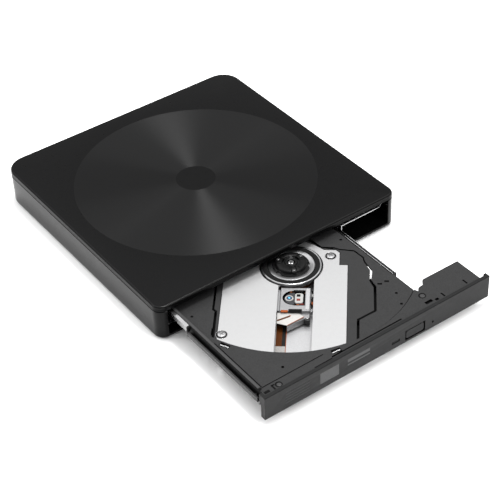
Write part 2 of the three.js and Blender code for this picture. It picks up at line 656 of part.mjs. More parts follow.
// A bright metal floor with cradles for the rods and an ear for each damper.
function traverseBase() {
  const plate = slab(roundedOutline(-17, 54, -31, 27, 4), baseBottom, baseTop, 2);
  const tongue = box(50, 66, -7.4, 12, baseBottom, baseTop);
  const pieces = [tongue];
  for (const [v, end] of [[leftRodV, rodEnds.left], [rightRodV, rodEnds.right]]) {
    pieces.push(box(11, 13.2, v - 1.6, v + 1.6, baseBottom, rodZ + 0.8));
    pieces.push(box(end - 0.6, end + 1.4, v - 1.6, v + 1.6, baseBottom, rodZ + 0.8));
    pieces.push(box(50, end + 1.4, v - 1.6, v + 1.6, baseBottom, baseTop));
  }
  const ears = [box(50, 57, -27, -21, baseBottom, baseTop), box(25, 31, 25, 45, baseBottom, baseTop)];
  ears.push(box(-22, -14, 7, 13, baseBottom, baseTop));
  const rounds = damperPlaces.map(([, u, v]) => cylinder(u, v, baseBottom, baseTop, 3.4, 20));
  const holes = damperPlaces.map(([, u, v]) => cylinder(u, v, 5, 8, 2, 16));
  const rodHoles = [leftRodV, rightRodV].map((v) => rodAlongX(12.2, 90, v, rodZ, 1 + gap, 12));
  return cut(join(plate, ...pieces, ...ears, ...rounds), ...holes, ...rodHoles);
}

// A rubber spool that holds the base's ear and sits on a post under the deck.
function damper(u, v) {
  const profile = [[1.2, 5.2], [2.6, 5.2], [2.6, 5.7], [1.7, 5.7], [1.7, 7.1]];
  profile.push([2.6, 7.1], [2.6, 7.6], [1.2, 7.6]);
  return turned(profile, u, v, 16);
}

const rodEnds = { left: 69.9, right: 63.6 };

const stator = { inner: 1.7, radius: 11.5, bottom: 7.1, top: 9.8 };

function turntable() {
  const rim = seatZ - 0.1;
  const points = [[1.7, 12], [12.6, 12], [12.6, 10.6], [13.6, 10.6], [13.6, 12.2], [14.4, 12.4]];
  points.push([14.4, rim - 0.2], [14.2, rim], [13.8, rim], [13.7, 13.2], [11.2, 13.2], [11.1, 13.5]);
  points.push([9, 13.3], [1.7, 13.3]);
  return turned(points, 0, 0, 40);
}

function spindleShaft() {
  return cylinder(0, 0, 7.1, 15.3, 1.4, 16);
}

const pawlAngles = [15, 135, 255].map(THREE.MathUtils.degToRad);

function clampHub() {
  const profile = [[1.7, 13.6], [8.7, 13.6], [8.7, 13.9], [7.4, 14.1], [7.4, 14.9], [6.9, 15.5], [1.7, 15.6]];
  const hub = turned(profile, 0, 0, 36);
  const notches = pawlAngles.map((angle) => {
    const notch = box(3.6, 10, -1.5, 1.5, 14.2, 17);
    return notch.rotateZ(angle);
  });
  return cut(hub, ...notches);
}

function pawl(angle) {
  const profile = [[4.3, 14.5], [7.2, 14.5], [7.7, 14.85], [7.2, 15.3], [6.4, 15.5], [4.3, 15.5]];
  const options = { depth: 2.2, bevelEnabled: false };
  const geometry = new THREE.ExtrudeGeometry(outline(profile), options);
  return geometry.rotateX(Math.PI / 2).translate(0, 1.1, 0).rotateZ(angle);
}

function buildSpindle() {
  const group = new THREE.Group();
  group.position.set(spindleU, spindleV, 0);
  const coils = ringAt(0, 0, stator.inner, stator.radius, stator.bottom, stator.top, 40);
  group.add(part('spindle_stator', coils, polyimide));
  group.add(part('turntable', turntable(), chrome));
  group.add(part('turntable_mat', ringAt(0, 0, 11.4, 13.5, seatZ - 0.3, seatZ, 40), rubber));
  group.add(part('clamp_hub', clampHub(), blackPlastic));
  group.add(part('spindle_shaft', spindleShaft(), chrome));
  pawlAngles.forEach((angle, i) => group.add(part(`hub_pawl_${i + 1}`, pawl(angle), blackPlastic)));
  return group;
}

// The cast sled: a frame round the lens, a bush on each rod and a slanted tail with the laser's heat sink.
function sledBody() {
  const top = 12;
  const frame = box(15.4, 31.2, -3, 10.5, 7.4, top);
  const leftBush = box(15.5, 30, leftRodV - 1.9, -3, 7.6, 10.9);
  const bushGroove = box(15, 31, -3.4, -3, 9.5, 11);
  const arm = box(15.5, 21, 9.5, rightRodV + 1.5, 7.1, 7.7);
  const rightBush = box(15.5, 21, rightRodV - 1.5, rightRodV + 1.5, 7.1, 10.9);
  const tail = outline([[30, -3], [33, -3], [34, 0.6], [40.5, 0.6], [34.2, 9.2], [34.2, 10.5], [30, 10.5]]);
  const heatSink = slab(tail, 7.6, flexZ - gap);
  const eyeWell = cylinder(lensU, eyeV, 10.2, top + 1, eyeRadius + 0.8, 32);
  const well = join(box(16.8, 27.5, eyeV, 8.3, 10.2, top + 1), eyeWell);
  const holes = [leftRodV, rightRodV].map((v) => rodAlongX(0, 60, v, rodZ, 1 + gap, 12));
  return cut(join(frame, leftBush, arm, rightBush, heatSink), well, bushGroove, ...holes);
}

const flexZ = 10.9;

// White film folded over the sled's tail, slit where it is bent.
function sledFlex() {
  const points = [[31.8, -4.2], [36.8, -4.2], [34.6, 1.2], [37.4, -4.2], [38.7, -4.2], [40.2, 0.8]];
  points.push([34.2, 8.2], [31.8, 5.8]);
  return slab(outline(points), flexZ, flexZ + 0.2);
}

function lensHolder() {
  const eye = cylinder(lensU, eyeV, 11, 11.5, eyeRadius, 32);
  const collar = cylinder(lensU, lensV, 11, 11.9, 1.75, 24);
  const bobbin = box(lensU - 3.3, lensU + 3.3, 3.3, 7.5, 10.6, 11.8);
  const seat = cylinder(lensU, lensV, 11.4, 13, 1.5, 24);
  const light = cylinder(lensU, lensV, 10, 13, 0.9, 16);
  const windows = [-1.5, 1.5].map((u) => box(lensU + u - 0.8, lensU + u + 0.8, 4.3, 6, 10, 13));
  return cut(join(eye, collar, bobbin), seat, light, ...windows);
}

function leadScrew() {
  return rodAlongX(14, 57.4, screwV, rodZ, 1.2, 16);
}

function buildTraverse() {
  const group = new THREE.Group();
  group.position.set(pocketX, pocketY, 0);
  group.rotation.z = THREE.MathUtils.degToRad(180 + pathAngle);
  group.add(part('traverse_base', traverseBase(), steel));
  group.add(part('traverse_cover', traverseCover(), trayGrey));
  group.add(part('traverse_plate', traversePlate(), aluminium));
  for (const [name, u, v] of plateScrews) {
    group.add(part(`plate_screw_${name}`, plateScrew(u, v), steel));
  }
  for (const [name, u, v] of damperPlaces) {
    group.add(part(`damper_${name}`, damper(u, v), rubber));
  }
  group.add(buildSpindle());
  group.add(part('sled_body', sledBody(), castMetal));
  group.add(part('sled_flex', sledFlex(), whitePlastic));
  group.add(part('lens_holder', lensHolder(), whitePlastic));
  group.add(part('objective_lens', cylinder(lensU, lensV, 11.7, 12.2, 1.2, 24, 0.7), lensBlue));
  group.add(part('guide_rod_left', rodAlongX(12.5, rodEnds.left, leftRodV, rodZ, 1, 16), chrome));
  group.add(part('guide_rod_right', rodAlongX(12.5, rodEnds.right, rightRodV, rodZ, 1, 16), chrome));
  group.add(part('lead_screw', leadScrew(), steel));
  group.add(part('sled_motor', rodAlongX(57.7, 67, screwV, rodZ, 2.1, 20), steel));
  group.add(part('sled_ribbon', box(28, 62, -4.3, 0.6, 7, 7.2), polyimide));
  return group;
}

// ---- Whole drive --------------------------------------------------------------------------

function buildTray() {
  const group = new THREE.Group();
  group.position.set(bezelLeft, -trayOut, 0);
  group.add(part('tray', tray(), trayGrey));
  group.add(buildFront());
  for (const [name, place] of Object.entries(clipSlots)) {
    group.add(part(`tray_clip_${name}`, trayClip(place), steel));
  }
  group.add(part('eject_button', ejectButton(), trayGrey));
  group.add(part('latch_lever', latchLever(), blackPlastic));
  group.add(buildTraverse());
  group.add(part('slide_rail_left', slideRail(railLeft, false), steel));
  group.add(part('slide_rail_right', slideRail(railRight, true), steel));
  return group;
}

const drive = new THREE.Group();
drive.position.y = (trayOut - caseBack) / 2;
drive.add(buildCase(), buildBridge(), buildChassis(), buildTray());

export default drive;
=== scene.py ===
"""Looks for the external optical drive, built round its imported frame. Metres, +Z up."""

import json
import math

import bmesh
import bpy
from mathutils import Matrix, Vector

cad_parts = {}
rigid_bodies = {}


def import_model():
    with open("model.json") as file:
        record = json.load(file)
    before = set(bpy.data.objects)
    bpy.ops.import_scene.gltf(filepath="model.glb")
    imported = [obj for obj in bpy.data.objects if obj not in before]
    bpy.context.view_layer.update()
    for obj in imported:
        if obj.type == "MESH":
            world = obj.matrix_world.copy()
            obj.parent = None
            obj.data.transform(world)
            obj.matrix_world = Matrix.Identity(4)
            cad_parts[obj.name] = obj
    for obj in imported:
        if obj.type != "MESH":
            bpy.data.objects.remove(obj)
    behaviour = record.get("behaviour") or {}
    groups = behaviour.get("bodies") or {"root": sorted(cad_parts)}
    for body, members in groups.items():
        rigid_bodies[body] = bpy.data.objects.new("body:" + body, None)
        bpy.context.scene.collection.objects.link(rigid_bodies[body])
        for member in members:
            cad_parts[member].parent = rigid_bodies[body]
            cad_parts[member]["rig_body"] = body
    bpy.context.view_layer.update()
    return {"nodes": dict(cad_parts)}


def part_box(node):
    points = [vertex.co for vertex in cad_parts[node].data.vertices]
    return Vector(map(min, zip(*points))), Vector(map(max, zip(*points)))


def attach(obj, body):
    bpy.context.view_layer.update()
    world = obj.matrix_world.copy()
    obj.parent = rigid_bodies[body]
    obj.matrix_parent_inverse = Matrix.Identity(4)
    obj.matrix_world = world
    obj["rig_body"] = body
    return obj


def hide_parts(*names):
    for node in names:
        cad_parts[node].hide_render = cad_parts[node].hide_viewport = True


MM = 0.001

# ---- Camera --------------------------------------------------------------------------------

CAMERA_TARGET = Vector((-0.00579, -0.01726, 0.010))
CAMERA_DISTANCE = 0.72103
CAMERA_AZIMUTH = math.radians(-34.354)
CAMERA_ELEVATION = math.radians(39.302)
CAMERA_ROLL = math.radians(-2.801)
CAMERA_LENS = 108.18


def make_camera():
    """A long lens above the tray's left side, looking at the open tray."""
    a, e, r = CAMERA_AZIMUTH, CAMERA_ELEVATION, CAMERA_ROLL
    right = Vector((math.cos(a), math.sin(a), 0))
    back = Vector((math.sin(a) * math.cos(e), -math.cos(a) * math.cos(e), math.sin(e)))
    up = back.cross(right)
    side = math.cos(r) * right + math.sin(r) * up
    top = -math.sin(r) * right + math.cos(r) * up
    data = bpy.data.cameras.new("camera")
    data.lens = CAMERA_LENS
    data.sensor_width = 36
    data.clip_start = 0.01
    camera = bpy.data.objects.new("camera", data)
    bpy.context.scene.collection.objects.link(camera)
    camera.matrix_world = Matrix.Translation(CAMERA_TARGET + back * CAMERA_DISTANCE) @ Matrix(
        (side, top, back)
    ).transposed().to_4x4()
    bpy.context.scene.camera = camera


for old in list(bpy.data.objects):
    bpy.data.objects.remove(old)
make_camera()
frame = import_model()
nodes = frame["nodes"]

# ---- Places --------------------------------------------------------------------------------


def middle_of(node):
    """The middle of a CAD node's box, dropped to the ground."""
    low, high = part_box(node)
    return Vector(((low.x + high.x) / 2, (low.y + high.y) / 2, 0))


def heading(angle):
    """The level direction at an angle from +X."""
    return Vector((math.cos(angle), math.sin(angle), 0))


def crosswise(angle):
    """The heading a quarter turn anticlockwise of an angle."""
    return Vector((-math.sin(angle), math.cos(angle), 0))


BEZEL_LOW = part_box("bezel")[0]
SHELL_LOW, SHELL_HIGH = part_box("lower_shell")
LID_LOW, LID_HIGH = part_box("top_cover")
LID_CENTRE = middle_of("top_cover")
SPINDLE = middle_of("clamp_hub")

# The pickup's path starts at the disc pocket's middle and runs toward the front left.
PATH_ANGLE = math.radians(180 + 50.3)
ALONG = heading(PATH_ANGLE)
ACROSS = crosswise(PATH_ANGLE)
SPINDLE_U, SPINDLE_V = 0.4, 0.9  # the spindle's place on the path's axes, in mm
POCKET = SPINDLE - ALONG * (SPINDLE_U * MM) - ACROSS * (SPINDLE_V * MM)
POCKET_X, POCKET_Y = 64, 67  # the pocket's middle in the tray's frame, in mm


def in_tray(x, y, z):
    """A point measured in mm from the bezel's left end and front face."""
    return Vector((BEZEL_LOW.x + x * MM, BEZEL_LOW.y + y * MM, z * MM))


def in_path(u, v, z):
    """A point measured in mm from the disc pocket's middle, along and across the sled's path."""
    return POCKET + ALONG * (u * MM) + ACROSS * (v * MM) + Vector((0, 0, z * MM))


# ---- Materials -----------------------------------------------------------------------------

TEXTURE_LOW, TEXTURE_HIGH = 0.3, 0.7  # noise seldom leaves this range


def new_material(name, color, roughness, metallic=0.0, **sockets):
    """A principled material. Sockets are named with _ for each space."""
    material = bpy.data.materials.new(name)
    material.use_nodes = True
    shader = material.node_tree.nodes["Principled BSDF"]
    shader.inputs["Base Color"].default_value = (*color, 1)
    shader.inputs["Roughness"].default_value = roughness
    shader.inputs["Metallic"].default_value = metallic
    for socket, value in sockets.items():
        shader.inputs[socket.replace("_", " ")].default_value = value
    return material


def add_node(material, kind, **settings):
    node = material.node_tree.nodes.new(kind)
    for key, value in settings.items():
        setattr(node, key, value)
    return node


def link(material, source, target):
    material.node_tree.links.new(source, target)


def shader_of(material):
    return material.node_tree.nodes["Principled BSDF"]


def noise(material, scale, detail=3.0, roughness=0.5, stretch=None):
    """Noise in object space. Scale is features per metre; stretch shortens them on each axis."""
    place = add_node(material, "ShaderNodeTexCoord")
    source = place.outputs["Object"]
    if stretch:
        mapping = add_node(material, "ShaderNodeMapping")
        mapping.inputs["Scale"].default_value = stretch
        link(material, source, mapping.inputs["Vector"])
        source = mapping.outputs["Vector"]
    texture = add_node(material, "ShaderNodeTexNoise")
    texture.inputs["Scale"].default_value = scale
    texture.inputs["Detail"].default_value = detail
    texture.inputs["Roughness"].default_value = roughness
    link(material, source, texture.inputs["Vector"])
    return texture.outputs["Fac"]


def spread(material, factor, low, high):
    """Maps a texture's middle range to a range of values."""
    ramp = add_node(material, "ShaderNodeMapRange")
    ramp.inputs["From Min"].default_value = TEXTURE_LOW
    ramp.inputs["From Max"].default_value = TEXTURE_HIGH
    ramp.inputs["To Min"].default_value = low
    ramp.inputs["To Max"].default_value = high
    link(material, factor, ramp.inputs["Value"])
    return ramp.outputs["Result"]


def tint(material, factor, dark, light):
    """Colours the surface between two colours by a texture."""
    mix = add_node(material, "ShaderNodeMix", data_type="RGBA")
    mix.inputs[6].default_value = (*dark, 1)
    mix.inputs[7].default_value = (*light, 1)
    link(material, spread(material, factor, 0, 1), mix.inputs[0])
    link(material, mix.outputs[2], shader_of(material).inputs["Base Color"])


def rough_by(material, factor, low, high):
    """Varies the roughness by a texture."""
    link(material, spread(material, factor, low, high), shader_of(material).inputs["Roughness"])


def relief(material, factor, height, edge=0.0):
    """Bump of a height in metres, over edges rounded by edge metres."""
    bump = add_node(material, "ShaderNodeBump")
    bump.inputs["Strength"].default_value = 1.0
    bump.inputs["Distance"].default_value = height
    link(material, factor, bump.inputs["Height"])
    if edge:
        rounding = add_node(material, "ShaderNodeBevel", samples=6)
        rounding.inputs["Radius"].default_value = edge
        link(material, rounding.outputs["Normal"], bump.inputs["Normal"])
    link(material, bump.outputs["Normal"], shader_of(material).inputs["Normal"])


def scaled(color, factor):
    return tuple(channel * factor for channel in color)


def grained(name, color, roughness, grain, height, contrast=0.1, metallic=0.0, edge=0.0, **sockets):
    """A moulded or cast surface: fine grain in the relief, the colour and the gloss."""
    material = new_material(name, color, roughness, metallic, **sockets)
    fine = noise(material, grain, 2.0)
    tint(material, fine, scaled(color, 1 - contrast), scaled(color, 1 + contrast))
    rough_by(material, noise(material, grain / 12, 4.0), roughness * 0.9, roughness * 1.1)
    relief(material, fine, height, edge)
    return material


def brushed(name, color, roughness, stretch, height=2e-6, contrast=0.08, edge=0.0, metallic=1.0):
    """Metal with fine lines; stretch is small along the lines and 1 across them."""
    material = new_material(name, color, roughness, metallic)
    lines = noise(material, 2600, 3.0, 0.6, stretch)
    tint(material, lines, scaled(color, 1 - contrast), scaled(color, 1 + contrast * 0.6))
    rough_by(material, lines, roughness * 0.8, roughness * 1.25)
    relief(material, lines, height, edge)
    return material


def polar(material, centre):
    """Radius in metres and angle in radians about a vertical axis through centre."""
    place = add_node(material, "ShaderNodeTexCoord")
    offset = add_node(material, "ShaderNodeVectorMath", operation="SUBTRACT")
    offset.inputs[1].default_value = (centre.x, centre.y, 0)
    link(material, place.outputs["Object"], offset.inputs[0])
    parts = add_node(material, "ShaderNodeSeparateXYZ")
    link(material, offset.outputs["Vector"], parts.inputs["Vector"])
    flat = add_node(material, "ShaderNodeCombineXYZ")
    link(material, parts.outputs["X"], flat.inputs["X"])
    link(material, parts.outputs["Y"], flat.inputs["Y"])
    radius = add_node(material, "ShaderNodeVectorMath", operation="LENGTH")
    link(material, flat.outputs["Vector"], radius.inputs[0])
    angle = add_node(material, "ShaderNodeMath", operation="ARCTAN2")
    link(material, parts.outputs["Y"], angle.inputs[0])
    link(material, parts.outputs["X"], angle.inputs[1])
    return radius.outputs["Value"], angle.outputs["Value"]


def turned_lines(material, centre, across, along):
    """Noise along circles: across is features per metre of radius, along is features per radian."""
    radius, angle = polar(material, centre)
    wide = add_node(material, "ShaderNodeMath", operation="MULTIPLY")
    wide.inputs[1].default_value = across
    link(material, radius, wide.inputs[0])
    long = add_node(material, "ShaderNodeMath", operation="MULTIPLY")
    long.inputs[1].default_value = along
    link(material, angle, long.inputs[0])
    place = add_node(material, "ShaderNodeCombineXYZ")
    link(material, wide.outputs["Value"], place.inputs["X"])
    link(material, long.outputs["Value"], place.inputs["Y"])
    texture = add_node(material, "ShaderNodeTexNoise")
    texture.inputs["Scale"].default_value = 1.0
    texture.inputs["Detail"].default_value = 2.0
    link(material, place.outputs["Vector"], texture.inputs["Vector"])
    return texture.outputs["Fac"]


def spun_material(name, color, roughness, anisotropy, centre, metallic, height, specular=0.5):
    """A face turned on a lathe, which catches light in two opposite fans."""
    material = new_material(name, color, roughness, metallic, Anisotropic=anisotropy,
                            Anisotropic_Rotation=0.25)
    shader_of(material).inputs["Specular IOR Level"].default_value = specular
    tangent = add_node(material, "ShaderNodeTangent", direction_type="RADIAL", axis="Z")
    link(material, tangent.outputs["Tangent"], shader_of(material).inputs["Tangent"])
    lines = turned_lines(material, centre, 2500, 2.5)
    tint(material, lines, scaled(color, 0.8), scaled(color, 1.2))
    relief(material, lines, height)
    return material


lid_satin = grained("lid_satin", (0.002, 0.002, 0.0021), 0.3, 5200, 3e-6, 0.12,
                    Specular_IOR_Level=0.07)
lid_spun = spun_material("lid_spun", (0.0006, 0.0006, 0.0007), 0.32, 0.98, LID_CENTRE, 0.0, 3e-6,
                         0.165)
shell_gloss = grained("shell_gloss", (0.002, 0.002, 0.002), 0.16, 900, 1.5e-6, 0.1,
                      Specular_IOR_Level=0.12)
tray_plastic = grained("tray_plastic", (0.0165, 0.0165, 0.0168), 0.55, 3400, 1.6e-5, 0.35,
                       edge=1.2e-4, Specular_IOR_Level=0.18)
bezel_plastic = grained("bezel_plastic", (0.0175, 0.0175, 0.0178), 0.5, 3800, 8e-6, 0.2, edge=2e-4,
                        Specular_IOR_Level=0.15)
dark_plastic = grained("dark_plastic", (0.004, 0.004, 0.0042), 0.38, 2800, 4e-6, 0.2, edge=1e-4,
                       Specular_IOR_Level=0.25)
cover_plastic = grained("cover_plastic", (0.0165, 0.0165, 0.0168), 0.55, 3400, 1.2e-5, 0.3,
                        edge=1e-4, Specular_IOR_Level=0.18)
rubber = grained("rubber", (0.004, 0.004, 0.004), 0.75, 2400, 1.4e-5, 0.25, Specular_IOR_Level=0.12)
plate_metal = grained("plate_metal", (0.355, 0.355, 0.357), 0.5, 5200, 4e-6, 0.09, 0.7, 1e-4)
cast_metal = grained("cast_metal", (0.27, 0.27, 0.275), 0.4, 2200, 1e-5, 0.12, 0.8, 1e-4)
base_metal = grained("base_metal", (0.38, 0.38, 0.385), 0.4, 1500, 5e-6, 0.06, 0.8, 1e-4)
pan_metal = brushed("pan_metal", (0.5, 0.5, 0.505), 0.32, (1, 0.03, 1), edge=1e-4)
rail_metal = brushed("rail_metal", (0.42, 0.42, 0.425), 0.22, (1, 0.02, 1), 5e-7, edge=1.5e-4)
screw_metal = grained("screw_metal", (0.36, 0.36, 0.365), 0.26, 1800, 5e-6, 0.1, 1.0, 1e-4)
rod_metal = grained("rod_metal", (0.5, 0.5, 0.505), 0.12, 1200, 1e-6, 0.05, 1.0)
disc_metal = spun_material("disc_metal", (0.36, 0.36, 0.365), 0.3, 0.6, SPINDLE, 1.0, 2e-6)
chrome = grained("chrome", (0.5, 0.5, 0.505), 0.14, 900, 5e-7, 0.03, 1.0)
white_plastic = grained("white_plastic", (0.30, 0.30, 0.29), 0.4, 1800, 5e-6, 0.05, edge=1e-4)
white_film = grained("white_film", (0.38, 0.37, 0.355), 0.3, 1200, 4e-6, 0.05)
amber_film = grained("amber_film", (0.16, 0.05, 0.012), 0.28, 1500, 4e-6, 0.25)
copper = brushed("copper", (0.72, 0.30, 0.14), 0.3, (0.05, 1, 1))
red_window = grained("red_window", (0.15, 0.012, 0.006), 0.15, 1500, 1e-6, 0.1)
orange_part = grained("orange_part", (0.22, 0.045, 0.005), 0.4, 1800, 2e-6, 0.15,
                      Specular_IOR_Level=0.15)
dark_amber = grained("dark_amber", (0.062, 0.017, 0.002), 0.5, 1500, 3e-6, 0.2,
                     Specular_IOR_Level=0.08)
black_film = grained("black_film", (0.008, 0.0082, 0.008), 0.4, 1500, 3e-6, 0.2,
                     Specular_IOR_Level=0.1)
pale_film = grained("pale_film", (0.26, 0.25, 0.24), 0.35, 1500, 3e-6, 0.1)
holder_grey = grained("holder_grey", (0.022, 0.023, 0.026), 0.35, 2200, 3e-6, 0.15, edge=1e-4,
                      Specular_IOR_Level=0.3)
bracket_grey = grained("bracket_grey", (0.012, 0.012, 0.0125), 0.4, 2200, 5e-6, 0.15, 0.2, 1e-4)
clip_metal = grained("clip_metal", (0.6, 0.6, 0.605), 0.25, 1800, 2e-6, 0.05, 1.0)
hub_plastic = grained("hub_plastic", (0.0025, 0.0025, 0.0026), 0.3, 2400, 3e-6, 0.2, edge=1e-4,
                      Specular_IOR_Level=0.12)
ball_dark = grained("ball_dark", (0.05, 0.05, 0.05), 0.25, 1800, 1e-6, 0.1, 0.5)
# Black for the block at each rail's front end: painted shade in the gap there.
rail_gap_shade = grained("rail_gap_shade", (0.006, 0.006, 0.0062), 0.5, 2600, 6e-6, 0.2,
                        Specular_IOR_Level=0.2)
mark_print = grained("mark_print", (0.08, 0.08, 0.081), 0.6, 4200, 2e-6, 0.15,
                     Specular_IOR_Level=0.2)
mark_faint = grained("mark_faint", (0.034, 0.034, 0.0345), 0.6, 4200, 2e-6, 0.15,
                     Specular_IOR_Level=0.2)
black_part = grained("black_part", (0.0015, 0.0015, 0.0015), 0.5, 2400, 3e-6, 0.2,
                     Specular_IOR_Level=0.06)
# A darker copy of the bezel's plastic for its top face: painted shade.
bezel_top_shade = grained("bezel_top_shade", (0.008, 0.008, 0.0082), 0.5, 3800, 8e-6, 0.2, edge=1e-4,
                    Specular_IOR_Level=0.12)
# A darker copy of the tray's plastic: painted shade inside the runner's channel.
runner_shade_black = grained("runner_shade_black", (0.006, 0.006, 0.0061), 0.6, 2600, 6e-6, 0.2,
                       Specular_IOR_Level=0.08)
# A glossier, lighter copy of the tray's plastic: the gloss is real, the lighter colour is painted
# light on the runner's rims and a painted highlight on the bosses.
painted_light_plastic = grained("painted_light_plastic", (0.03, 0.03, 0.0305), 0.4, 3400, 4e-6, 0.2, edge=1.2e-4,
                         Specular_IOR_Level=0.25)
lid_edge = grained("lid_edge", (0.002, 0.002, 0.002), 0.2, 2600, 1e-6, 0.1, Specular_IOR_Level=0.15)
lamp_plastic = grained("lamp_plastic", (0.002, 0.002, 0.002), 0.2, 1500, 1e-6, 0.1,
                       Specular_IOR_Level=0.1)
lens_glass = grained("lens_glass", (0.004, 0.022, 0.075), 0.05, 900, 1e-7, 0.05, IOR=1.5)
# Bright cyan for a small dome on the lens: painted highlight.
lens_highlight_paint = grained("lens_highlight_paint", (0.09, 0.42, 0.62), 0.1, 900, 1e-7, 0.05, IOR=1.5)
board_green = grained("board_green", (0.012, 0.075, 0.035), 0.35, 260, 1.2e-5, 0.5, edge=1e-4)

for node in nodes.values():
    node.data.materials.clear()


def paint(material, *names):
    """Gives a material to CAD nodes that are kept as they are."""
    for name in names:
        nodes[name].data.materials.append(material)


# ---- Meshes --------------------------------------------------------------------------------

SMOOTH_EDGE = math.radians(35)
SHARP_EDGE = math.radians(40)


def finish_piece(bm, name, materials, body, replaced=()):
    """Turns a bmesh into a piece that rides on a body and stands for its CAD nodes."""
    bmesh.ops.recalc_face_normals(bm, faces=bm.faces)
    for edge in bm.edges:
        edge.smooth = len(edge.link_faces) == 2 and edge.calc_face_angle(math.pi) < SMOOTH_EDGE
    for face in bm.faces:
        face.smooth = True
    mesh = bpy.data.meshes.new(name)
    bm.to_mesh(mesh)
    bm.free()
    for material in materials:
        mesh.materials.append(material)
    piece = bpy.data.objects.new(name, mesh)
    bpy.context.scene.collection.objects.link(piece)
    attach(piece, body)
    if replaced:
        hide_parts(*replaced)
    return piece


def round_edges(piece, width, segments=2):
    """Bevels the edges sharper than SHARP_EDGE."""
    bevel = piece.modifiers.new("rounded edges", "BEVEL")
    bevel.width = width
    bevel.segments = segments
    bevel.limit_method = "ANGLE"
    bevel.angle_limit = SHARP_EDGE
    bevel.harden_normals = True
    return piece


def refined(node, material, bevel=0.0, segments=2, choose=None, extra=()):
    """The CAD node's own shape with welded corners, smooth curves and rounded edges."""
    source = nodes[node]
    bm = bmesh.new()
    bm.from_mesh(source.data)
    bmesh.ops.remove_doubles(bm, verts=bm.verts, dist=1e-7)
    bmesh.ops.dissolve_limit(bm, angle_limit=math.radians(0.5), verts=bm.verts, edges=bm.edges)
    for face in bm.faces:
        face.material_index = choose(face) if choose else 0
    body = source["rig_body"]
    piece = finish_piece(bm, node + "_look", [material, *extra], body, [node])
    if bevel:
        round_edges(piece, bevel, segments)
    return piece


def ring_faces(bm, low, high, material=0):
    """A band of four-sided faces between two closed rings of the same length."""
    count = len(low)
    for i in range(count):
        j = (i + 1) % count
        face = bm.faces.new((low[i], low[j], high[j], high[i]))
        face.material_index = material


def case_outline(low, high, inset, corner=16, side=20):
    """Points round the case's outline, anticlockwise, the same number for every inset."""
    near = FRONT_CORNER - inset
    far = REAR_CORNER - inset
    x0, x1 = low.x + inset, high.x - inset
    y0, y1 = low.y + inset, high.y - inset
    corners = [(x1 - near, y0 + near, -90, near), (x1 - far, y1 - far, 0, far)]
    corners += [(x0 + far, y1 - far, 90, far), (x0 + near, y0 + near, 180, near)]
    points = []
    for k, (cx, cy, start, r) in enumerate(corners):
        for i in range(corner + 1):
            a = math.radians(start + 90 * i / corner)
            points.append((cx + r * math.cos(a), cy + r * math.sin(a)))
        nx, ny, following, nr = corners[(k + 1) % 4]
        a = math.radians(following)
        end = (nx + nr * math.cos(a), ny + nr * math.sin(a))
        begin = points[-1]
        for i in range(1, side):
            t = i / side
            points.append((begin[0] + (end[0] - begin[0]) * t, begin[1] + (end[1] - begin[1]) * t))
    return points


def add_ring(bm, points, z):
    return [bm.verts.new((x, y, z)) for x, y in points]


def circle_points(centre, radius, count):
    angles = [i * 2 * math.pi / count for i in range(count)]
    return [(centre.x + radius * math.cos(a), centre.y + radius * math.sin(a)) for a in angles]


AXIS = 0.01  # profiles start this far from their axis, in mm


def lathe(name, profile, centre, material, body, replaced=(), count=128, choose=None,
          extra=()):
    """A closed ring turned about a vertical axis, from (radius, z) points in mm."""
    bm = bmesh.new()
    rings = [add_ring(bm, circle_points(centre, r * MM, count), z * MM) for r, z in profile]
    for k, ring in enumerate(rings):
        following = rings[(k + 1) % len(rings)]
        ring_faces(bm, ring, following, choose(k) if choose else 0)
    return finish_piece(bm, name, [material, *extra], body, replaced)


def block(name, corners, z0, z1, material, body, bevel=0.05, place=in_path):
    """A flat part with rounded edges, from its outline's corners in mm."""
    bm = bmesh.new()
    low = [bm.verts.new(place(x, y, z0)) for x, y in corners]
    high = [bm.verts.new(place(x, y, z1)) for x, y in corners]
    ring_faces(bm, low, high)
    bm.faces.new(low)
    bm.faces.new(high)
    piece = finish_piece(bm, name, [material], body)
    return round_edges(piece, bevel * MM)


def rectangle(x0, x1, y0, y1):
    return [(x0, y0), (x1, y0), (x1, y1), (x0, y1)]


def wire(name, points, radius, material, body):
    """A round wire through points in the part's frame."""
    curve = bpy.data.curves.new(name, "CURVE")
    curve.dimensions = "3D"
    curve.bevel_depth = radius * MM
    curve.bevel_resolution = 3
    curve.use_fill_caps = True
    spline = curve.splines.new("POLY")
    spline.points.add(len(points) - 1)
    for point, place in zip(spline.points, points):
        point.co = (*place, 1)
    curve.materials.append(material)
    piece = bpy.data.objects.new(name, curve)
    bpy.context.scene.collection.objects.link(piece)
    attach(piece, body)
    return piece


def subtract(piece, tools):
    """Cuts tool meshes out of a piece and applies the result."""
    for tool in tools:
        cut = piece.modifiers.new("cut", "BOOLEAN")
        cut.operation = "DIFFERENCE"
        cut.solver = "EXACT"
        cut.object = tool
    depsgraph = bpy.context.evaluated_depsgraph_get()
    made = bpy.data.meshes.new_from_object(piece.evaluated_get(depsgraph))
    piece.modifiers.clear()
    piece.data = made
    for tool in tools:
        bpy.data.objects.remove(tool)
    return piece


def tool_between(bm, start, end):
    """A cutting solid from one closed ring of points to another."""
    ring_faces(bm, start, end)
    bm.faces.new(start)
    bm.faces.new(end)
    bmesh.ops.recalc_face_normals(bm, faces=bm.faces)
    mesh = bpy.data.meshes.new("tool")
    bm.to_mesh(mesh)
    bm.free()
    tool = bpy.data.objects.new("tool", mesh)
    bpy.context.scene.collection.objects.link(tool)
    return tool


def tool_prism(points, z0, z1):
    """A cutting prism over points on the ground, in metres."""
    bm = bmesh.new()
    return tool_between(bm, add_ring(bm, points, z0), add_ring(bm, points, z1))


# ---- Case ----------------------------------------------------------------------------------

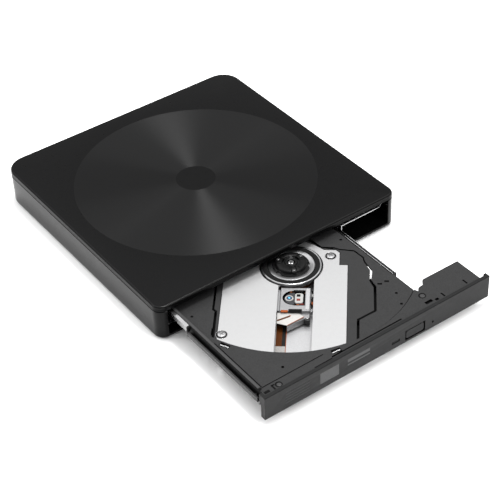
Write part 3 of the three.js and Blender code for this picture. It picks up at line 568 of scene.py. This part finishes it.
FRONT_CORNER = 5 * MM
REAR_CORNER = 10.5 * MM
WALL = 2 * MM
FLOOR_TOP = 2.5 * MM
MOUTH_HALF = 65.2 * MM
TINY_BEVEL = 0.15 * MM
LID_DEPTH = 2.8 * MM
LID_UNDERSIDE = 1.6 * MM
RIM_RISE, RIM_REACH = 1.1 * MM, 0.88 * MM  # height and width of the lid's rounded rim
RIM_STEPS = 7
SPUN_RADIUS = 61 * MM
BOSS_RADIUS = 10 * MM
SPUN_BANDS = 6
FOOT_NAMES = ["foot_front_left", "foot_front_right", "foot_rear_left", "foot_rear_right"]
FOOT_PLACES = [middle_of(foot) for foot in FOOT_NAMES]
FOOT_HOLE_RADIUS = 5.3 * MM
FOOT_HOLE_TOP = 1.4 * MM


def make_lid():
    """Top cover: a rounded slab with a bevelled rim and a spun disc in its top."""
    bm = bmesh.new()
    top, bottom = LID_HIGH.z, LID_HIGH.z - LID_DEPTH

    def ring(inset, z):
        return add_ring(bm, case_outline(LID_LOW, LID_HIGH, inset), z)

    rings = [ring(WALL, top - LID_UNDERSIDE), ring(WALL, bottom)]
    rings += [ring(TINY_BEVEL, bottom), ring(0, bottom + TINY_BEVEL)]
    side_bands = len(rings)
    rings.append(ring(0, top - RIM_RISE))
    for i in range(1, RIM_STEPS):
        a = math.radians(90 * i / RIM_STEPS)
        rings.append(ring(RIM_REACH * (1 - math.cos(a)), top - RIM_RISE + RIM_RISE * math.sin(a)))
    rings.append(ring(RIM_REACH, top))
    for k, (low, high) in enumerate(zip(rings, rings[1:])):
        ring_faces(bm, low, high, 2 if k >= side_bands else 0)
    bm.faces.new(rings[0])
    edge = rings[-1]
    angles = [math.atan2(v.co.y - LID_CENTRE.y, v.co.x - LID_CENTRE.x) for v in edge]

    def circle(radius):
        x, y = LID_CENTRE.x, LID_CENTRE.y
        points = [(x + radius * math.cos(a), y + radius * math.sin(a)) for a in angles]
        return add_ring(bm, points, top)

    outer = circle(SPUN_RADIUS)
    ring_faces(bm, edge, outer)
    for k in range(1, SPUN_BANDS + 1):
        inner = circle(SPUN_RADIUS + (BOSS_RADIUS - SPUN_RADIUS) * k / SPUN_BANDS)
        ring_faces(bm, outer, inner, 1)
        outer = inner
    bm.faces.new(outer)
    materials = [lid_satin, lid_spun, lid_edge]
    return finish_piece(bm, "lid", materials, "case", ["top_cover"])


def make_shell():
    """Lower shell: a rounded tray-shaped box, open at the front for the drive."""
    bm = bmesh.new()
    bottom, top = SHELL_LOW.z, SHELL_HIGH.z
    round_over, steps = 0.8 * MM, 5

    def ring(inset, z):
        return add_ring(bm, case_outline(SHELL_LOW, SHELL_HIGH, inset), z)

    rings = []
    for i in range(steps + 1):
        a = math.radians(90 * i / steps)
        rings.append(ring(round_over * (1 - math.sin(a)), bottom + round_over * (1 - math.cos(a))))
    rings += [ring(0, top - TINY_BEVEL), ring(TINY_BEVEL, top)]
    rings += [ring(WALL, top), ring(WALL, FLOOR_TOP)]
    for low, high in zip(rings, rings[1:]):
        ring_faces(bm, low, high)
    bm.faces.new(rings[0])
    bm.faces.new(rings[-1])
    piece = finish_piece(bm, "case_shell", [shell_gloss], "case", ["lower_shell"])
    front = SHELL_LOW.y
    mouth = rectangle(-MOUTH_HALF, MOUTH_HALF, front - 10 * MM, front + 3 * MM)
    tools = [tool_prism(mouth, FLOOR_TOP, 30 * MM)]
    for place in FOOT_PLACES:
        tools.append(tool_prism(circle_points(place, FOOT_HOLE_RADIUS, 64), -1 * MM, FOOT_HOLE_TOP))
    tools.append(socket_tool(0.3 * MM))
    subtract(piece, tools)
    for polygon in piece.data.polygons:
        polygon.use_smooth = True
    piece.data.set_sharp_from_angle(angle=SMOOTH_EDGE)
    return piece


def socket_tool(margin):
    """A flat oval bar through the back wall at the USB socket."""
    low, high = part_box("usb_socket_shell")
    radius = (high.z - low.z) / 2 + margin
    x0, x1 = low.x - margin + radius, high.x + margin - radius
    z = (low.z + high.z) / 2
    bm = bmesh.new()
    rings = []
    for y in (SHELL_HIGH.y - 3 * MM, SHELL_HIGH.y + 2 * MM):
        ring = []
        for i in range(32):
            a = 2 * math.pi * (i + 0.5) / 32
            x = x1 if math.cos(a) > 0 else x0
            ring.append(bm.verts.new((x + radius * math.cos(a), y, z + radius * math.sin(a))))
        rings.append(ring)
    return tool_between(bm, *rings)


def make_feet():
    """Domed rubber feet with a fine step round each."""
    profile = [(AXIS, 0), (4.2, 0), (4.7, 0.12), (5, 0.45), (5, 1.1), (AXIS, 1.1)]
    for name, place in zip(FOOT_NAMES, FOOT_PLACES):
        lathe(name + "_look", profile, place, rubber, "case", [name], 64)


make_lid()
make_shell()
make_feet()

# ---- Tray and bezel ------------------------------------------------------------------------

# Where the tray's surfaces change, in mm in the tray's frame.
LIP_X = 1.3  # inner edge of the runner's lip
LIP_TOP = 11.9
RUNNER_X = 3  # the runner lies left of this
RIDGE_X = 3.6
RIDGE_TOP = 15.1
DECK_EDGE = 13.65  # walls that reach lower than this are in holes and seams
GROOVE_TOP = 13.3
GROOVE_FLOOR = 12.9
POCKET_EDGE = 60
# Faces below the groove floor, and small faces in grooves and holes, are painted black: painted
# shade.
SMALL_FLOOR, SMALL_WALL = 30e-6, 25e-6  # the largest faces in grooves and holes, in square metres


def tray_face(face):
    """The tray's material on one face: 0 grained, 1 black painted shade in grooves and holes, 2 the
    runner's rims in painted light, 3 painted shade inside the runner.
    """
    centre = face.calc_center_median()
    x = (centre.x - BEZEL_LOW.x) / MM
    y = (centre.y - BEZEL_LOW.y) / MM
    z = centre.z / MM
    faces_up = face.normal.z > 0.5
    # The runner's outer lip, lip top and ridge top are painted lighter as painted light; the rest of
    # the runner is painted darker as painted shade.
    outer_lip = x < 0.9 and face.normal.x < -0.5
    lip_top = x < LIP_X and z > LIP_TOP and faces_up
    ridge_top = x < RIDGE_X and z > RIDGE_TOP
    if outer_lip or lip_top or ridge_top:
        return 2
    if x < RUNNER_X:
        return 3
    outside_pocket = math.hypot(x - POCKET_X, y - POCKET_Y) > POCKET_EDGE
    small_floor = faces_up and face.calc_area() < SMALL_FLOOR
    # Black on groove floors and small hole faces: painted shade.
    shaded_hole_floor = z < GROOVE_TOP and small_floor and outside_pocket
    shaded_hole_wall = z < DECK_EDGE and abs(face.normal.z) < 0.5 and face.calc_area() < SMALL_WALL
    return 1 if z < GROOVE_FLOOR or shaded_hole_floor or shaded_hole_wall else 0


def box_tool(low, high):
    """A cutting box between two corners."""
    return tool_prism(rectangle(low.x, high.x, low.y, high.y), low.z, high.z)


def inlay(name, x0, x1, z0, z1, material):
    """A printed mark let into the bezel's face."""
    corners = rectangle(x0, x1, 0.05, 0.35)
    return block(name, corners, z0, z1, material, "disc_tray", 0.02, in_tray)


# Plain printed bars on the bezel: x0, x1, z0 and z1 in mm.
PRINTED_MARKS = {
    "mark_left_top": (11.2, 24.2, 13.1, 13.6),
    "mark_left_upper": (11.2, 24.2, 11.5, 12),
    "mark_left_middle": (11.2, 24.2, 9.9, 10.4),
    "mark_left_lower": (11.2, 24.2, 8.3, 8.8),
    "mark_left_bottom": (11.2, 24.2, 6.7, 7.2),
    "mark_middle": (29.9, 40.3, 6.9, 13.2),
    "mark_right_top": (45.2, 57.8, 10.9, 12.7),
    "mark_right_bottom": (45.2, 57.8, 9, 9.8),
}


BEZEL_TOP = 15.9
CONTROLS_X, CONTROLS_Z = (60, 100), (4, 11)  # where the bezel's holes are, in mm


def within(value, limits):
    return limits[0] < value < limits[1]


def bezel_face(face):
    """The bezel's material on one face: 0 grained, 1 black on its holes' walls as painted shade, 2
    darker along its top as painted shade.
    """
    centre = face.calc_center_median()
    x = (centre.x - BEZEL_LOW.x) / MM
    z = centre.z / MM
    # The bezel's top face gets the darker copy: painted shade.
    if z > BEZEL_TOP and face.normal.z > 0.5:
        return 2
    # The walls of the holes round the button and lamp are painted black: painted shade in those
    # gaps.
    painted_hole_shade = within(x, CONTROLS_X) and within(z, CONTROLS_Z) and abs(face.normal.y) < 0.5
    return 1 if painted_hole_shade else 0


def make_bezel():
    """Bezel with softened edges and plain printed bars let into its face."""
    piece = refined("bezel", bezel_plastic, choose=bezel_face,
                    extra=[black_part, bezel_top_shade])
    tools = []
    for x0, x1, z0, z1 in PRINTED_MARKS.values():
        tools.append(box_tool(in_tray(x0, -0.2, z0), in_tray(x1, 0.08, z1)))
    subtract(piece, tools)
    round_edges(piece, TINY_BEVEL)
    gap = 0.02
    for name, (x0, x1, z0, z1) in PRINTED_MARKS.items():
        material = mark_faint if name.startswith("mark_left") else mark_print
        inlay(name, x0 + gap, x1 - gap, z0 + gap, z1 - gap, material)
    round_edges(refined("eject_button", bezel_plastic), 0.2 * MM, 3)


def boss(name, x, y, z, radius, height):
    """A low round moulded boss with a rounded rim and a dimple, in a lighter plastic as a painted
    highlight.
    """
    profile = [(AXIS, 0), (radius, 0), (radius, height * 0.6), (radius - 0.15, height)]
    profile += [(radius * 0.55, height), (radius * 0.45, height * 0.6), (AXIS, height * 0.55)]
    points = [(r, z + rise) for r, rise in profile]
    lathe(name, points, in_tray(x, y, 0), painted_light_plastic, "disc_tray", count=32)


# Black blocks at the tray's front left corner: painted shade in its small slots and notches.
SHADED_SLOTS = {
    "strip_mark_long": rectangle(7.3, 8.1, 2.6, 5.6),
    "strip_mark_short": rectangle(7.3, 9, 5.0, 5.7),
    "strip_notch": rectangle(2.6, 5.3, 2.9, 4.3),
    "ridge_notch": rectangle(1.7, 3.3, 6.2, 7.6),
}


def make_tray():
    """The tray with its bosses, painted shade round them and in the corner's slots and notches,
    runner stop and sprung clips.
    """
    refined("tray", tray_plastic, choose=tray_face,
            extra=[black_part, painted_light_plastic, runner_shade_black])
    boss("strip_boss", 10.6, 3.9, 15.55, 1.1, 0.25)
    boss("corner_boss", 97.5, 10.8, 13.65, 1.2, 0.3)
    # Black rings round the bosses' feet: painted shade.
    boss_shade_rings = [("strip_boss_gap", 10.6, 4.2, 15.6, 1.2), ("corner_boss_gap", 97.6, 11.1, 13.7, 1.3)]
    for name, x, y, z, r in boss_shade_rings:
        ring = [(r - 0.2, z - 0.1), (r + 0.5, z - 0.1), (r + 0.5, z + 0.06), (r - 0.2, z + 0.06)]
        lathe(name, ring, in_tray(x, y, 0), black_part, "disc_tray", count=32)
    for name, corners in SHADED_SLOTS.items():
        block(name, corners, 15.5, 15.68, black_part, "disc_tray", 0.02, in_tray)
    pin = [(AXIS, 11), (0.55, 11), (0.55, 11.7), (0.4, 11.85), (AXIS, 11.85)]
    place = in_tray(1.8, 8.9, 0)
    lathe("runner_stop", pin, place, ball_dark, "disc_tray", count=24)
    for name in ("tray_clip_left", "tray_clip_front"):
        refined(name, clip_metal, 0.08 * MM)


# ---- Slide rails ---------------------------------------------------------------------------


def channel_profile(low, high, wall, floor, open_top):
    """A U-shaped section, as (x, z) points, open upward or downward."""
    left, right = low.x + wall, high.x - wall
    if open_top:
        outside, inside, lips = low.z, low.z + floor, high.z
    else:
        outside, inside, lips = high.z, high.z - floor, low.z
    points = [(low.x, outside), (high.x, outside), (high.x, lips), (right, lips)]
    return points + [(right, inside), (left, inside), (left, lips), (low.x, lips)]


RAIL_BODIES = {"slide_rail_left": "rail_left", "slide_rail_right": "rail_right"}
RAIL_WALL, RAIL_FLOOR = 0.35 * MM, 0.4 * MM
RAIL_SHADE_LENGTH, RAIL_GAP = 0.7 * MM, 0.1 * MM  # the black end block's length, painted shade in the gap at the rail's front, and the gap behind it


def make_rail(node, body, open_top):
    """A folded metal channel."""
    low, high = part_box(node)
    profile = channel_profile(low, high, RAIL_WALL, RAIL_FLOOR, open_top)
    bm = bmesh.new()
    near = [bm.verts.new((x, low.y + RAIL_SHADE_LENGTH + RAIL_GAP, z)) for x, z in profile]
    far = [bm.verts.new((x, high.y, z)) for x, z in profile]
    ring_faces(bm, near, far)
    bm.faces.new(near)
    bm.faces.new(far)
    piece = finish_piece(bm, node + "_look", [rail_metal], body, [node])
    return round_edges(piece, 0.08 * MM)


def in_metres(x, y, z):
    return Vector((x * MM, y * MM, z * MM))


def make_rails():
    """Two slide rails, the left one open below and the right one open above, with black end blocks
    as painted shade in the gaps at their front ends.
    """
    for node, body in RAIL_BODIES.items():
        make_rail(node, body, open_top=node == "slide_rail_right")
    for node, body in RAIL_BODIES.items():
        low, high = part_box(node)
        shade_outline = rectangle(low.x, high.x, low.y, low.y + RAIL_SHADE_LENGTH)
        corners = [(x / MM, y / MM) for x, y in shade_outline]
        block(node + "_end", corners, low.z / MM, high.z / MM, rail_gap_shade, body,
              0.1, in_metres)


# ---- Spindle -------------------------------------------------------------------------------

PAWL_ANGLES = [math.radians(a) for a in (15, 135, 255)]
HUB_NOTCHES = (60, 320, 190)  # degrees from +X
HUB_SLITS = (20, 95, 155, 225, 275, 340)
DOME_TURNS = [math.radians(90 * i / 6) for i in range(7)]


def turned_box(angle, r0, r1, half, z0, z1):
    """A cutting box that points away from the spindle."""
    out = heading(PATH_ANGLE + angle) * MM
    side = crosswise(PATH_ANGLE + angle) * MM
    corners = [SPINDLE + out * r + side * s for r, s in rectangle(r0, r1, -half, half)]
    return tool_prism([(c.x, c.y) for c in corners], z0 * MM, z1 * MM)


def make_spindle():
    """Turntable, rubber ring, clamping hub with three sprung pawls, and shaft."""
    profile = [(1.7, 12), (12.6, 12), (12.6, 10.6), (13.6, 10.6), (13.6, 12.2), (14.4, 12.4)]
    profile += [(14.4, 13.4), (14.32, 13.58), (14.1, 13.68), (13.8, 13.68), (13.65, 13.58)]
    profile += [(13.6, 13.25), (11.25, 13.25), (11.15, 13.5), (10.95, 13.62), (9.3, 13.5)]
    profile += [(9, 13.3), (1.7, 13.3)]
    lathe("turntable_look", profile, SPINDLE, disc_metal, "spindle", ["turntable"],
          192)
    ring = [(11.35, 13.4), (13.55, 13.4), (13.55, 13.68)]
    ring += [(13.4, 13.78), (11.5, 13.78), (11.35, 13.68)]
    lathe("rubber_ring", ring, SPINDLE, rubber, "spindle", ["turntable_mat"], 192)
    profile = [(1.75, 13.4), (8.7, 13.4), (8.7, 13.78), (8.58, 13.9), (7.6, 13.95), (7.42, 14.15)]
    profile += [(7.4, 14.8), (7.25, 15.15), (6.9, 15.4), (6.6, 15.48), (4.5, 15.52), (4.25, 15.4)]
    profile += [(4.1, 15.05), (3.2, 15), (2.95, 15.45), (2.75, 15.58), (2.1, 15.58), (1.75, 15.4)]
    hub = lathe("hub_look", profile, SPINDLE, hub_plastic, "spindle",
                ["clamp_hub"], 144)
    tools = [turned_box(a, 3.45, 10, 1.35, 14.2, 17) for a in PAWL_ANGLES]
    for degrees in HUB_NOTCHES:
        tools.append(turned_box(math.radians(degrees) - PATH_ANGLE, 7.85, 10, 1.3, 13, 15.0))
    for degrees in HUB_SLITS:
        tools.append(turned_box(math.radians(degrees) - PATH_ANGLE, 4.6, 6.7, 0.22, 15.3, 17))
    subtract(hub, tools)
    for k, angle in enumerate(PAWL_ANGLES):
        node = f"hub_pawl_{k + 1}"
        body = f"pawl_{k + 1}"
        refined(node, hub_plastic, 0.15 * MM, 3)
        centre = SPINDLE + heading(PATH_ANGLE + angle) * (6.3 * MM)
        dome = [(AXIS, 15.25)]
        dome += [(0.95 * math.cos(t), 15.25 + 0.5 * math.sin(t)) for t in DOME_TURNS]
        lathe(f"pawl_ball_{k + 1}", dome, centre, ball_dark, body, count=32)
    profile = [(AXIS, 7.1), (1.4, 7.1), (1.4, 15), (1.1, 15.3)]
    profile += [(0.9, 15.3), (0.8, 15.1), (AXIS, 15.05)]
    lathe("shaft_look", profile, SPINDLE, chrome, "spindle", ["spindle_shaft"], 64,
          lambda k: 1 if k in (4, 5, 6) else 0, [ball_dark])
    eyelet = SPINDLE + heading(math.radians(51)) * (2.6 * MM)
    ring = [(0.45, 15.3), (0.8, 15.3), (0.8, 15.62), (0.7, 15.68), (0.52, 15.62)]
    lathe("hub_eyelet", ring, eyelet, ball_dark, "spindle", count=24)


# ---- Sled ----------------------------------------------------------------------------------


def on_sled(name, corners, z0, z1, material, bevel=0.05, body="sled"):
    """A flat part laid out along the sled's path, which rides on the sled or another body."""
    return block(name, corners, z0, z1, material, body, bevel)


def round_end(u, v, radius, v_end, count=24):
    """A D-shaped outline: half a circle about (u, v) and straight sides up to v_end."""
    points = [(u + radius, v_end)]
    for i in range(count + 1):
        a = math.radians(180 * i / count)
        points.append((u + radius * math.cos(a), v - radius * math.sin(a)))
    return points + [(u - radius, v_end)]


LENS_U, LENS_V = 22.2, SPINDLE_V
WIRE_PLACES = (2.9, 7.9)  # across the path
WIRE_STARTS = ((18.2, -1.2), (26.1, 1.2))  # along the path, and how far the wire runs from there
# Faces inside this well round the lens are painted black: painted shade.
WELL_U, WELL_V, WELL_Z = (16.5, 27.8), (-2.6, 8.4), (10, 11.95)  # the well round the lens


def make_lens():
    """Lens holder on its wires: a round end with the lens and its painted highlight, and a bobbin
    with two windows.
    """
    holder = on_sled("holder_round_end", round_end(LENS_U, 2.7, 4.0, 3.4), 11, 11.5, holder_grey,
                     0.12, "lens")
    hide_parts("lens_holder")
    seat = in_path(LENS_U, LENS_V, 0)
    collar = [(1.15, 11.3), (2.0, 11.3), (1.95, 11.75), (1.75, 11.9), (1.45, 11.9), (1.25, 11.7)]
    lathe("lens_collar", collar, seat, white_plastic, "lens", count=64)
    bobbin = [(18.8, 4.2), (19.5, 3.5), (24.8, 3.5), (25.5, 4.2)]
    bobbin += [(25.5, 6.6), (24.8, 7.3), (19.5, 7.3), (18.8, 6.6)]
    on_sled("bobbin", bobbin, 10.95, 11.8, white_plastic, 0.12, "lens")
    on_sled("bobbin_window_black", rectangle(19.5, 21.2, 4.3, 6.0), 11.6, 11.86, black_part,
            0.05, "lens")
    on_sled("bobbin_window_red", rectangle(22.5, 24.0, 4.3, 6.0), 11.6, 11.86, red_window,
            0.05, "lens")
    glass = [(AXIS, 11.7), (1.2, 11.7), (1.2, 11.85), (1.05, 11.95)]
    glass += [(1.05 * math.cos(t), 11.95 + 0.25 * math.sin(t)) for t in DOME_TURNS[1:]]
    lathe("lens_look", glass, seat, lens_glass, "lens", ["objective_lens"], 64)
    # A bright cyan dome a little off the lens's middle: painted highlight.
    highlight_profile = [(AXIS, 12.1), (0.55, 12.1), (0.5, 12.2), (AXIS, 12.26)]
    middle = in_path(LENS_U + 0.2, LENS_V, 0)
    lathe("lens_painted_highlight", highlight_profile, middle, lens_highlight_paint, "lens", count=48)
    for k, v in enumerate(WIRE_PLACES):
        for u, length in WIRE_STARTS:
            ends = [in_path(u, v, 11.2), in_path(u + length, v, 11.2)]
            wire(f"lens_wire_{k + 1}_{int(u)}", ends, 0.06, copper, "lens")


def sled_face(face):
    """The sled's material on one face: 0 cast metal, 1 black inside the lens well as painted shade.
    """
    centre = face.calc_center_median()
    u = (centre - POCKET).dot(ALONG) / MM
    v = (centre - POCKET).dot(ACROSS) / MM
    z = centre.z / MM
    return 1 if within(u, WELL_U) and within(v, WELL_V) and within(z, WELL_Z) else 0


def make_sled():
    """The cast sled with the coils, magnets and solder of its lens, and its folded flex."""
    refined("sled_body", cast_metal, 0.12 * MM, choose=sled_face, extra=[black_part])
    on_sled("coil_bar", rectangle(17.2, 18.1, 3.3, 7.3), 10.3, 11.9, black_part)
    on_sled("magnet_near", rectangle(26.1, 27.0, 3.5, 7.6), 10.3, 11.6, black_part)
    on_sled("coil_orange", rectangle(17.2, 17.9, 0.9, 2.1), 10.9, 11.7, amber_film)
    on_sled("coil_red", rectangle(25.9, 26.5, 6.0, 7.6), 11.2, 11.8, red_window)
    on_sled("solder_orange", rectangle(26.2, 26.8, 4.4, 5.6), 11.3, 11.7, orange_part)
    on_sled("flex_orange", rectangle(30.8, 32.3, -2.6, 0.6), 11.95, 12.1, orange_part)
    on_sled("front_bar", rectangle(30.2, 32.2, 0.9, 7.0), 11.9, 12.25, black_part)
    on_sled("frame_lip", rectangle(15.6, 30.2, 8.6, 10.3), 11.95, 12.15, base_metal)
    bracket = [(30.2, 8.3), (35.5, 8.3), (35.8, 10.8), (30.2, 10.9)]
    on_sled("bracket", bracket, 7.7, 10.3, bracket_grey, 0.15)
    centre = in_path(34, 9.7, 0)
    screw = [(AXIS, 10.2), (0.85, 10.2), (0.85, 10.55), (0.7, 10.7)]
    screw += [(0.35, 10.7), (0.3, 10.5), (AXIS, 10.5)]
    lathe("bracket_screw", screw, centre, screw_metal, "sled", count=32)
    refined("sled_flex", white_film, 0.03 * MM)
    slit = [(34.3, 1.9), (37.5, -3.9), (36.5, -4.1), (33.5, 1.4)]
    on_sled("flex_slit", slit, 11.0, 11.18, dark_amber, 0.02)
    edge = [(34.2, 8.2), (40.2, 0.8), (40.0, 0.6), (34.0, 8.0)]
    on_sled("flex_edge", edge, 10.95, 11.14, orange_part, 0.02)
    dot = [(33.4, 1.3), (33.9, 1.6), (33.7, 2.2), (33.2, 1.9)]
    on_sled("flex_dot", dot, 11.0, 11.2, orange_part, 0.02)


def make_ribbon():
    """The sled's flat cable: amber with a black band and a pale stiffened end."""
    low, high = 7.0, 7.2
    start, stiffener, finish = 28, 49.8, 62
    left, middle, right = -4.3, -1.5, 0.2
    amber = on_sled("ribbon_amber", rectangle(start, stiffener, left, middle), low, high, dark_amber,
                    0.03, "disc_tray")
    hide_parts("sled_ribbon")
    on_sled("ribbon_band", rectangle(start, stiffener, middle, right), low, high, black_film,
            0.03, "disc_tray")
    edge = rectangle(start, finish, right, right + 0.25)
    on_sled("ribbon_edge", edge, low, high + 0.02, orange_part, 0.02, "disc_tray")
    on_sled("ribbon_end", rectangle(stiffener, finish, left, right), low, high, pale_film,
            0.03, "disc_tray")


def make_side_parts():
    """Small parts seen past the sled at the window's far edge."""
    places = [(15.3, 10.9, black_part), (18.2, 11.2, white_plastic), (20.6, 10.9, black_part)]
    places += [(23.4, 11.2, orange_part), (25.6, 10.9, black_part), (28.4, 11.1, screw_metal)]
    for k, (u, v, material) in enumerate(places):
        top = 10.6 + 0.2 * (k % 2)
        on_sled(f"rack_part_{k + 1}", rectangle(u, u + 1.7, v, v + 0.75), 8.6, top, material,
                0.1, "disc_tray")


def make_plate_screw(side):
    """Countersunk cross-head screw in a seat whose groove is a black ring of painted shade."""
    node = f"plate_screw_{side}"
    centre = middle_of(node)
    head = [(AXIS, 12.6), (1.95, 12.95), (2.0, 13.15), (1.8, 13.4), (1.2, 13.52), (AXIS, 13.55)]
    piece = lathe(f"{node}_look", head, centre, screw_metal, "disc_tray", [node],
                  64)
    tools = []
    turn = 0.3
    for angle in (turn, turn + math.pi / 2):
        out, across = heading(angle) * MM, crosswise(angle) * MM
        corners = [centre + out * a + across * b for a, b in rectangle(-1.2, 1.2, -0.22, 0.22)]
        tools.append(tool_prism([(c.x, c.y) for c in corners], 13.2 * MM, 14 * MM))
    subtract(piece, tools)
    # A black ring in the groove round the head: painted shade.
    seat = [(2.0, 12.93), (2.5, 12.93), (2.5, 12.98), (2.25, 13.02), (2.0, 12.98)]
    lathe(f"{node}_seat", seat, centre, black_part, "disc_tray", count=64)
    ring = [(2.55, 12.9), (2.8, 12.9), (2.75, 13.0), (2.6, 13.0)]
    lathe(f"{node}_ring", ring, centre, screw_metal, "disc_tray", count=64)


make_bezel()
make_tray()
make_rails()
make_spindle()
make_lens()
make_sled()
make_ribbon()
make_side_parts()
make_plate_screw("left")
make_plate_screw("right")
refined("traverse_plate", plate_metal, 0.08 * MM)
refined("traverse_cover", cover_plastic, 0.1 * MM)

# ---- Nodes kept as they are ----------------------------------------------------------------

paint(screw_metal, "case_screw_rear_left", "case_screw_rear_right", "latch_post", "latch_pivot")
paint(board_green, "bridge_board", "main_board", "eject_board")
paint(black_part, "bridge_chip", "main_chip", "eject_switch")
paint(dark_plastic, "usb_socket_tongue", "bridge_sata_plug", "drive_sata_socket", "rail_guide_left")
paint(dark_plastic, "rail_guide_right", "latch_lever")
paint(pan_metal, "chassis_pan", "chassis_cover", "usb_socket_shell")
paint(rubber, "damper_front_left", "damper_front_right", "damper_rear")
paint(amber_film, "tray_ribbon")
# The stator is painted dark amber rather than copper: painted shade under the turntable.
paint(dark_amber, "spindle_stator")
paint(lamp_plastic, "light_pipe")
paint(base_metal, "traverse_base")
paint(screw_metal, "lead_screw", "sled_motor")
paint(rod_metal, "guide_rod_left", "guide_rod_right")

# ---- Floor and light -----------------------------------------------------------------------


def make_floor():
    """A plain pale floor."""
    bpy.ops.mesh.primitive_plane_add(size=6, location=(0, 0, 0))
    floor = bpy.context.object
    floor.name = "floor"
    material = new_material("floor", (0.94, 0.94, 0.94), 0.75)
    rough_by(material, noise(material, 40), 0.7, 0.8)
    floor.data.materials.append(material)


# Square lamps that look at the origin: place in metres, size in metres and power in watts.
LAMPS = {
    "overhead": ((0.1, 0.1, 1.5), 2.6, 30),
    "key": ((0.25, 0.1, 1.35), 0.35, 13),
    "left": ((-0.86, 0.52, 0.65), 0.3, 3),
    "front": ((0.25, -0.81, 0.85), 0.3, 3),
}


def area_light(name, place, size, power):
    """A square lamp turned toward the origin."""
    data = bpy.data.lights.new(name, "AREA")
    data.energy = power
    data.shape = "RECTANGLE"
    data.size = size
    data.size_y = size
    light = bpy.data.objects.new(name, data)
    light.location = place
    light.rotation_mode = "QUATERNION"
    light.rotation_quaternion = (-Vector(place)).to_track_quat("-Z", "Y")
    bpy.context.scene.collection.objects.link(light)


def make_light():
    """Soft studio light: an even white world, a wide lamp overhead and three small ones."""
    world = bpy.data.worlds.new("studio")
    world.use_nodes = True
    background = world.node_tree.nodes["Background"]
    background.inputs["Color"].default_value = (1, 1, 1, 1)
    background.inputs["Strength"].default_value = 0.75
    bpy.context.scene.world = world
    for name, (place, size, power) in LAMPS.items():
        area_light(name, place, size, power)


make_floor()
make_light()
bpy.context.scene.view_settings.view_transform = "Standard"
bpy.context.scene.view_settings.look = "None"
